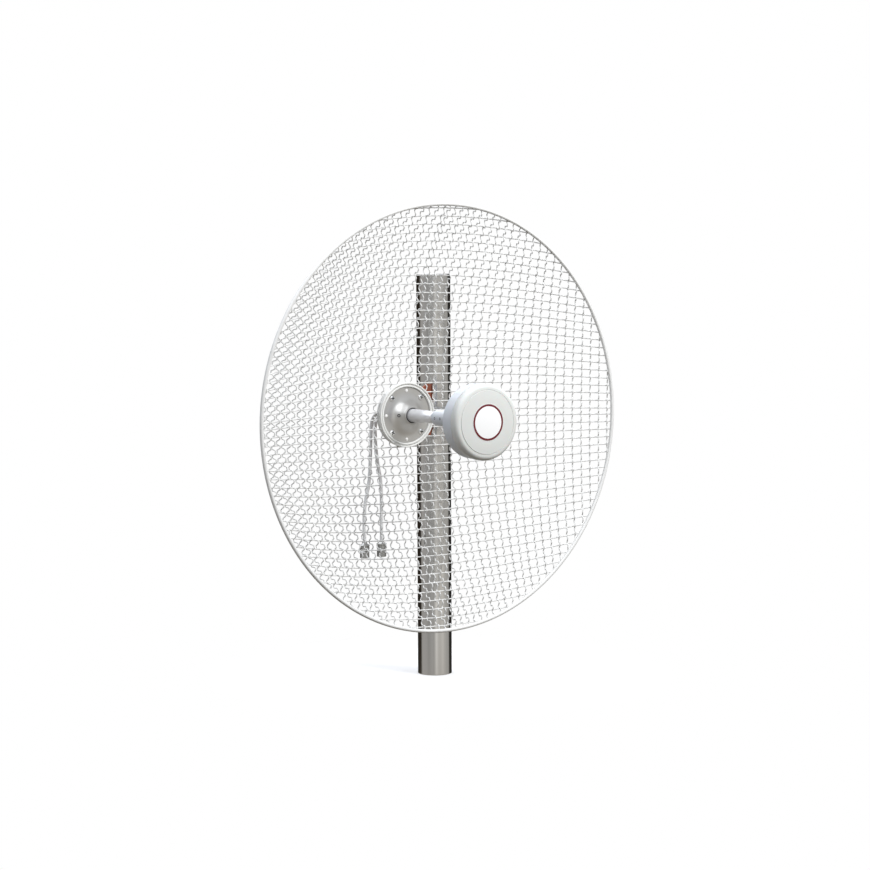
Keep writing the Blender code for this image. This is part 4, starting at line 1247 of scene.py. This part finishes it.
# Panels round the studio as seen in polished metal: degrees from the camera's side, then colour
ROUND_STUDIO = [
    (-180.0, (0.03, 0.024, 0.018)),
    (-107.0, (0.03, 0.024, 0.018)),
    (-98.0, (0.42, 0.41, 0.39)),
    (-90.0, (0.50, 0.49, 0.48)),
    (-60.0, (0.48, 0.475, 0.47)),
    (-41.0, (0.39, 0.39, 0.385)),
    (-20.0, (0.50, 0.50, 0.495)),
    (-5.0, (0.47, 0.47, 0.46)),
    (9.0, (0.96, 0.95, 0.92)),
    (18.0, (0.92, 0.91, 0.88)),
    (28.0, (0.70, 0.69, 0.66)),
    (57.0, (0.80, 0.785, 0.75)),
    (82.0, (0.56, 0.555, 0.535)),
    (109.0, (0.48, 0.475, 0.46)),
    (117.0, (0.03, 0.028, 0.025)),
    (180.0, (0.03, 0.028, 0.025)),
]
PANEL_SKY = (0.64, 0.66, 0.69)
PANEL_BRIGHT = (3.0, 3.1, 3.25)
PANEL_GROUND = (0.50, 0.475, 0.43)
BRIGHT_TURN = -75.0
SOFT_SKY = (1.38, 1.44, 1.54)
SOFT_GROUND = (0.09, 0.078, 0.06)

# Where one part of the studio gives way to the next: heights of the direction, and how far it faces
BRIGHT_HEIGHTS = (0.22, 0.50)
BRIGHT_FACING = (-0.28, 0.06)
BANDS_END = (0.06, 0.16)
GROUND_END = (-0.36, -0.20)
DOME_HEIGHTS = (0.0, 0.80)


def make_floor():
    """Pale round floor under the foot of the mast, fading out towards its edge."""
    share = np.linspace(0.0005, 1.0, 24)[:, None]
    points = round_grid((0.0, 0.0, 0.0), FLOOR_RADIUS * share, round_angles(96), 0.0 * share, UP_AXES)
    vertices, faces = patch(points, cap_end=False)
    mesh = bpy.data.meshes.new("floor")
    mesh.from_pydata(vertices, [], faces[:, ::-1])
    floor = show("floor", mesh)
    paint = bpy.data.materials.new("pale_floor")
    paint.use_nodes = True
    tree = paint.node_tree
    shader = tree.nodes["Principled BSDF"]
    shader.inputs["Base Color"].default_value = (0.90, 0.89, 0.88, 1.0)
    shader.inputs["Roughness"].default_value = 0.9
    place = node(tree, "ShaderNodeTexCoord")
    length = node(tree, "ShaderNodeVectorMath", operation="LENGTH")
    link(tree, place.outputs["Object"], length.inputs[0])
    link(tree, spread(tree, length.outputs["Value"], 0.9, 0.0, *FLOOR_FADE, smooth=True),
         shader.inputs["Alpha"])
    mesh.materials.append(paint)
    floor.visible_diffuse = False
    floor.visible_glossy = False


def add_lamp(name, place, size, power, colour):
    """Soft rectangular lamp aimed at the middle of the dish, unseen by the camera and in reflections."""
    data = bpy.data.lights.new(name, "AREA")
    data.shape = "RECTANGLE"
    data.size, data.size_y = size
    data.energy = power
    data.color = colour
    lamp = show(name, data)
    lamp.location = place
    aim = Vector(VERTEX.tolist()) - Vector(place)
    lamp.rotation_euler = aim.to_track_quat("-Z", "Y").to_euler()
    lamp.visible_camera = False
    lamp.visible_glossy = False


def blend(tree, factor, first, second):
    """Mix of two colours, each a socket or three numbers."""
    made = node(tree, "ShaderNodeMix", data_type="RGBA")
    link(tree, factor, made.inputs["Factor"])
    for label, colour in (("A", first), ("B", second)):
        if isinstance(colour, tuple):
            made.inputs[label].default_value = (*colour, 1.0)
        else:
            link(tree, colour, made.inputs[label])
    return made.outputs["Result"]


def make_world():
    """White to the camera, panels with a bright one high up to shiny surfaces, a soft dome to dull ones."""
    world = bpy.data.worlds.new("studio")
    bpy.context.scene.world = world
    world.use_nodes = True
    tree = world.node_tree
    tree.nodes.clear()

    def share(source, heights):
        """0 below the first height and 1 above the second, smooth between."""
        return spread(tree, source, 0.0, 1.0, *heights, smooth=True)

    direction = node(tree, "ShaderNodeTexCoord").outputs["Generated"]
    parts = node(tree, "ShaderNodeSeparateXYZ")
    link(tree, direction, parts.inputs[0])
    up = parts.outputs["Z"]
    ahead = math.atan2(CAMERA_BACK[1], CAMERA_BACK[0])
    bearing = maths(tree, "ARCTAN2", parts.outputs["Y"], parts.outputs["X"])
    wrapped = maths(tree, "WRAP", maths(tree, "SUBTRACT", bearing, ahead), math.pi, -math.pi)
    bands = node(tree, "ShaderNodeValToRGB")
    link(tree, maths(tree, "MULTIPLY_ADD", wrapped, 1.0 / TAU, 0.5), bands.inputs[0])
    ramp = bands.color_ramp
    while len(ramp.elements) < len(ROUND_STUDIO):
        ramp.elements.new(0.5)
    for element, (degrees, colour) in zip(ramp.elements, ROUND_STUDIO):
        element.position = degrees / 360.0 + 0.5
        element.color = (*colour, 1.0)
    turn = ahead + math.radians(BRIGHT_TURN)
    facing = node(tree, "ShaderNodeVectorMath", operation="DOT_PRODUCT")
    link(tree, direction, facing.inputs[0])
    facing.inputs[1].default_value = (math.cos(turn), math.sin(turn), 0.0)
    bright = maths(tree, "MULTIPLY", share(up, BRIGHT_HEIGHTS),
                   share(facing.outputs["Value"], BRIGHT_FACING))
    sky = blend(tree, bright, PANEL_SKY, PANEL_BRIGHT)
    panels = blend(tree, share(up, BANDS_END), bands.outputs["Color"], sky)
    panels = blend(tree, share(up, GROUND_END), PANEL_GROUND, panels)
    dome = blend(tree, share(up, DOME_HEIGHTS), SOFT_GROUND, SOFT_SKY)
    rays = node(tree, "ShaderNodeLightPath")
    lit = blend(tree, rays.outputs["Is Glossy Ray"], dome, panels)
    shown = node(tree, "ShaderNodeBackground")
    link(tree, blend(tree, rays.outputs["Is Camera Ray"], lit, WHITE), shown.inputs["Color"])
    leave = node(tree, "ShaderNodeOutputWorld")
    link(tree, shown.outputs[0], leave.inputs["Surface"])


make_floor()
for lamp_values in LAMPS:
    add_lamp(*lamp_values)
make_world()
bpy.context.scene.view_settings.view_transform = "Standard"
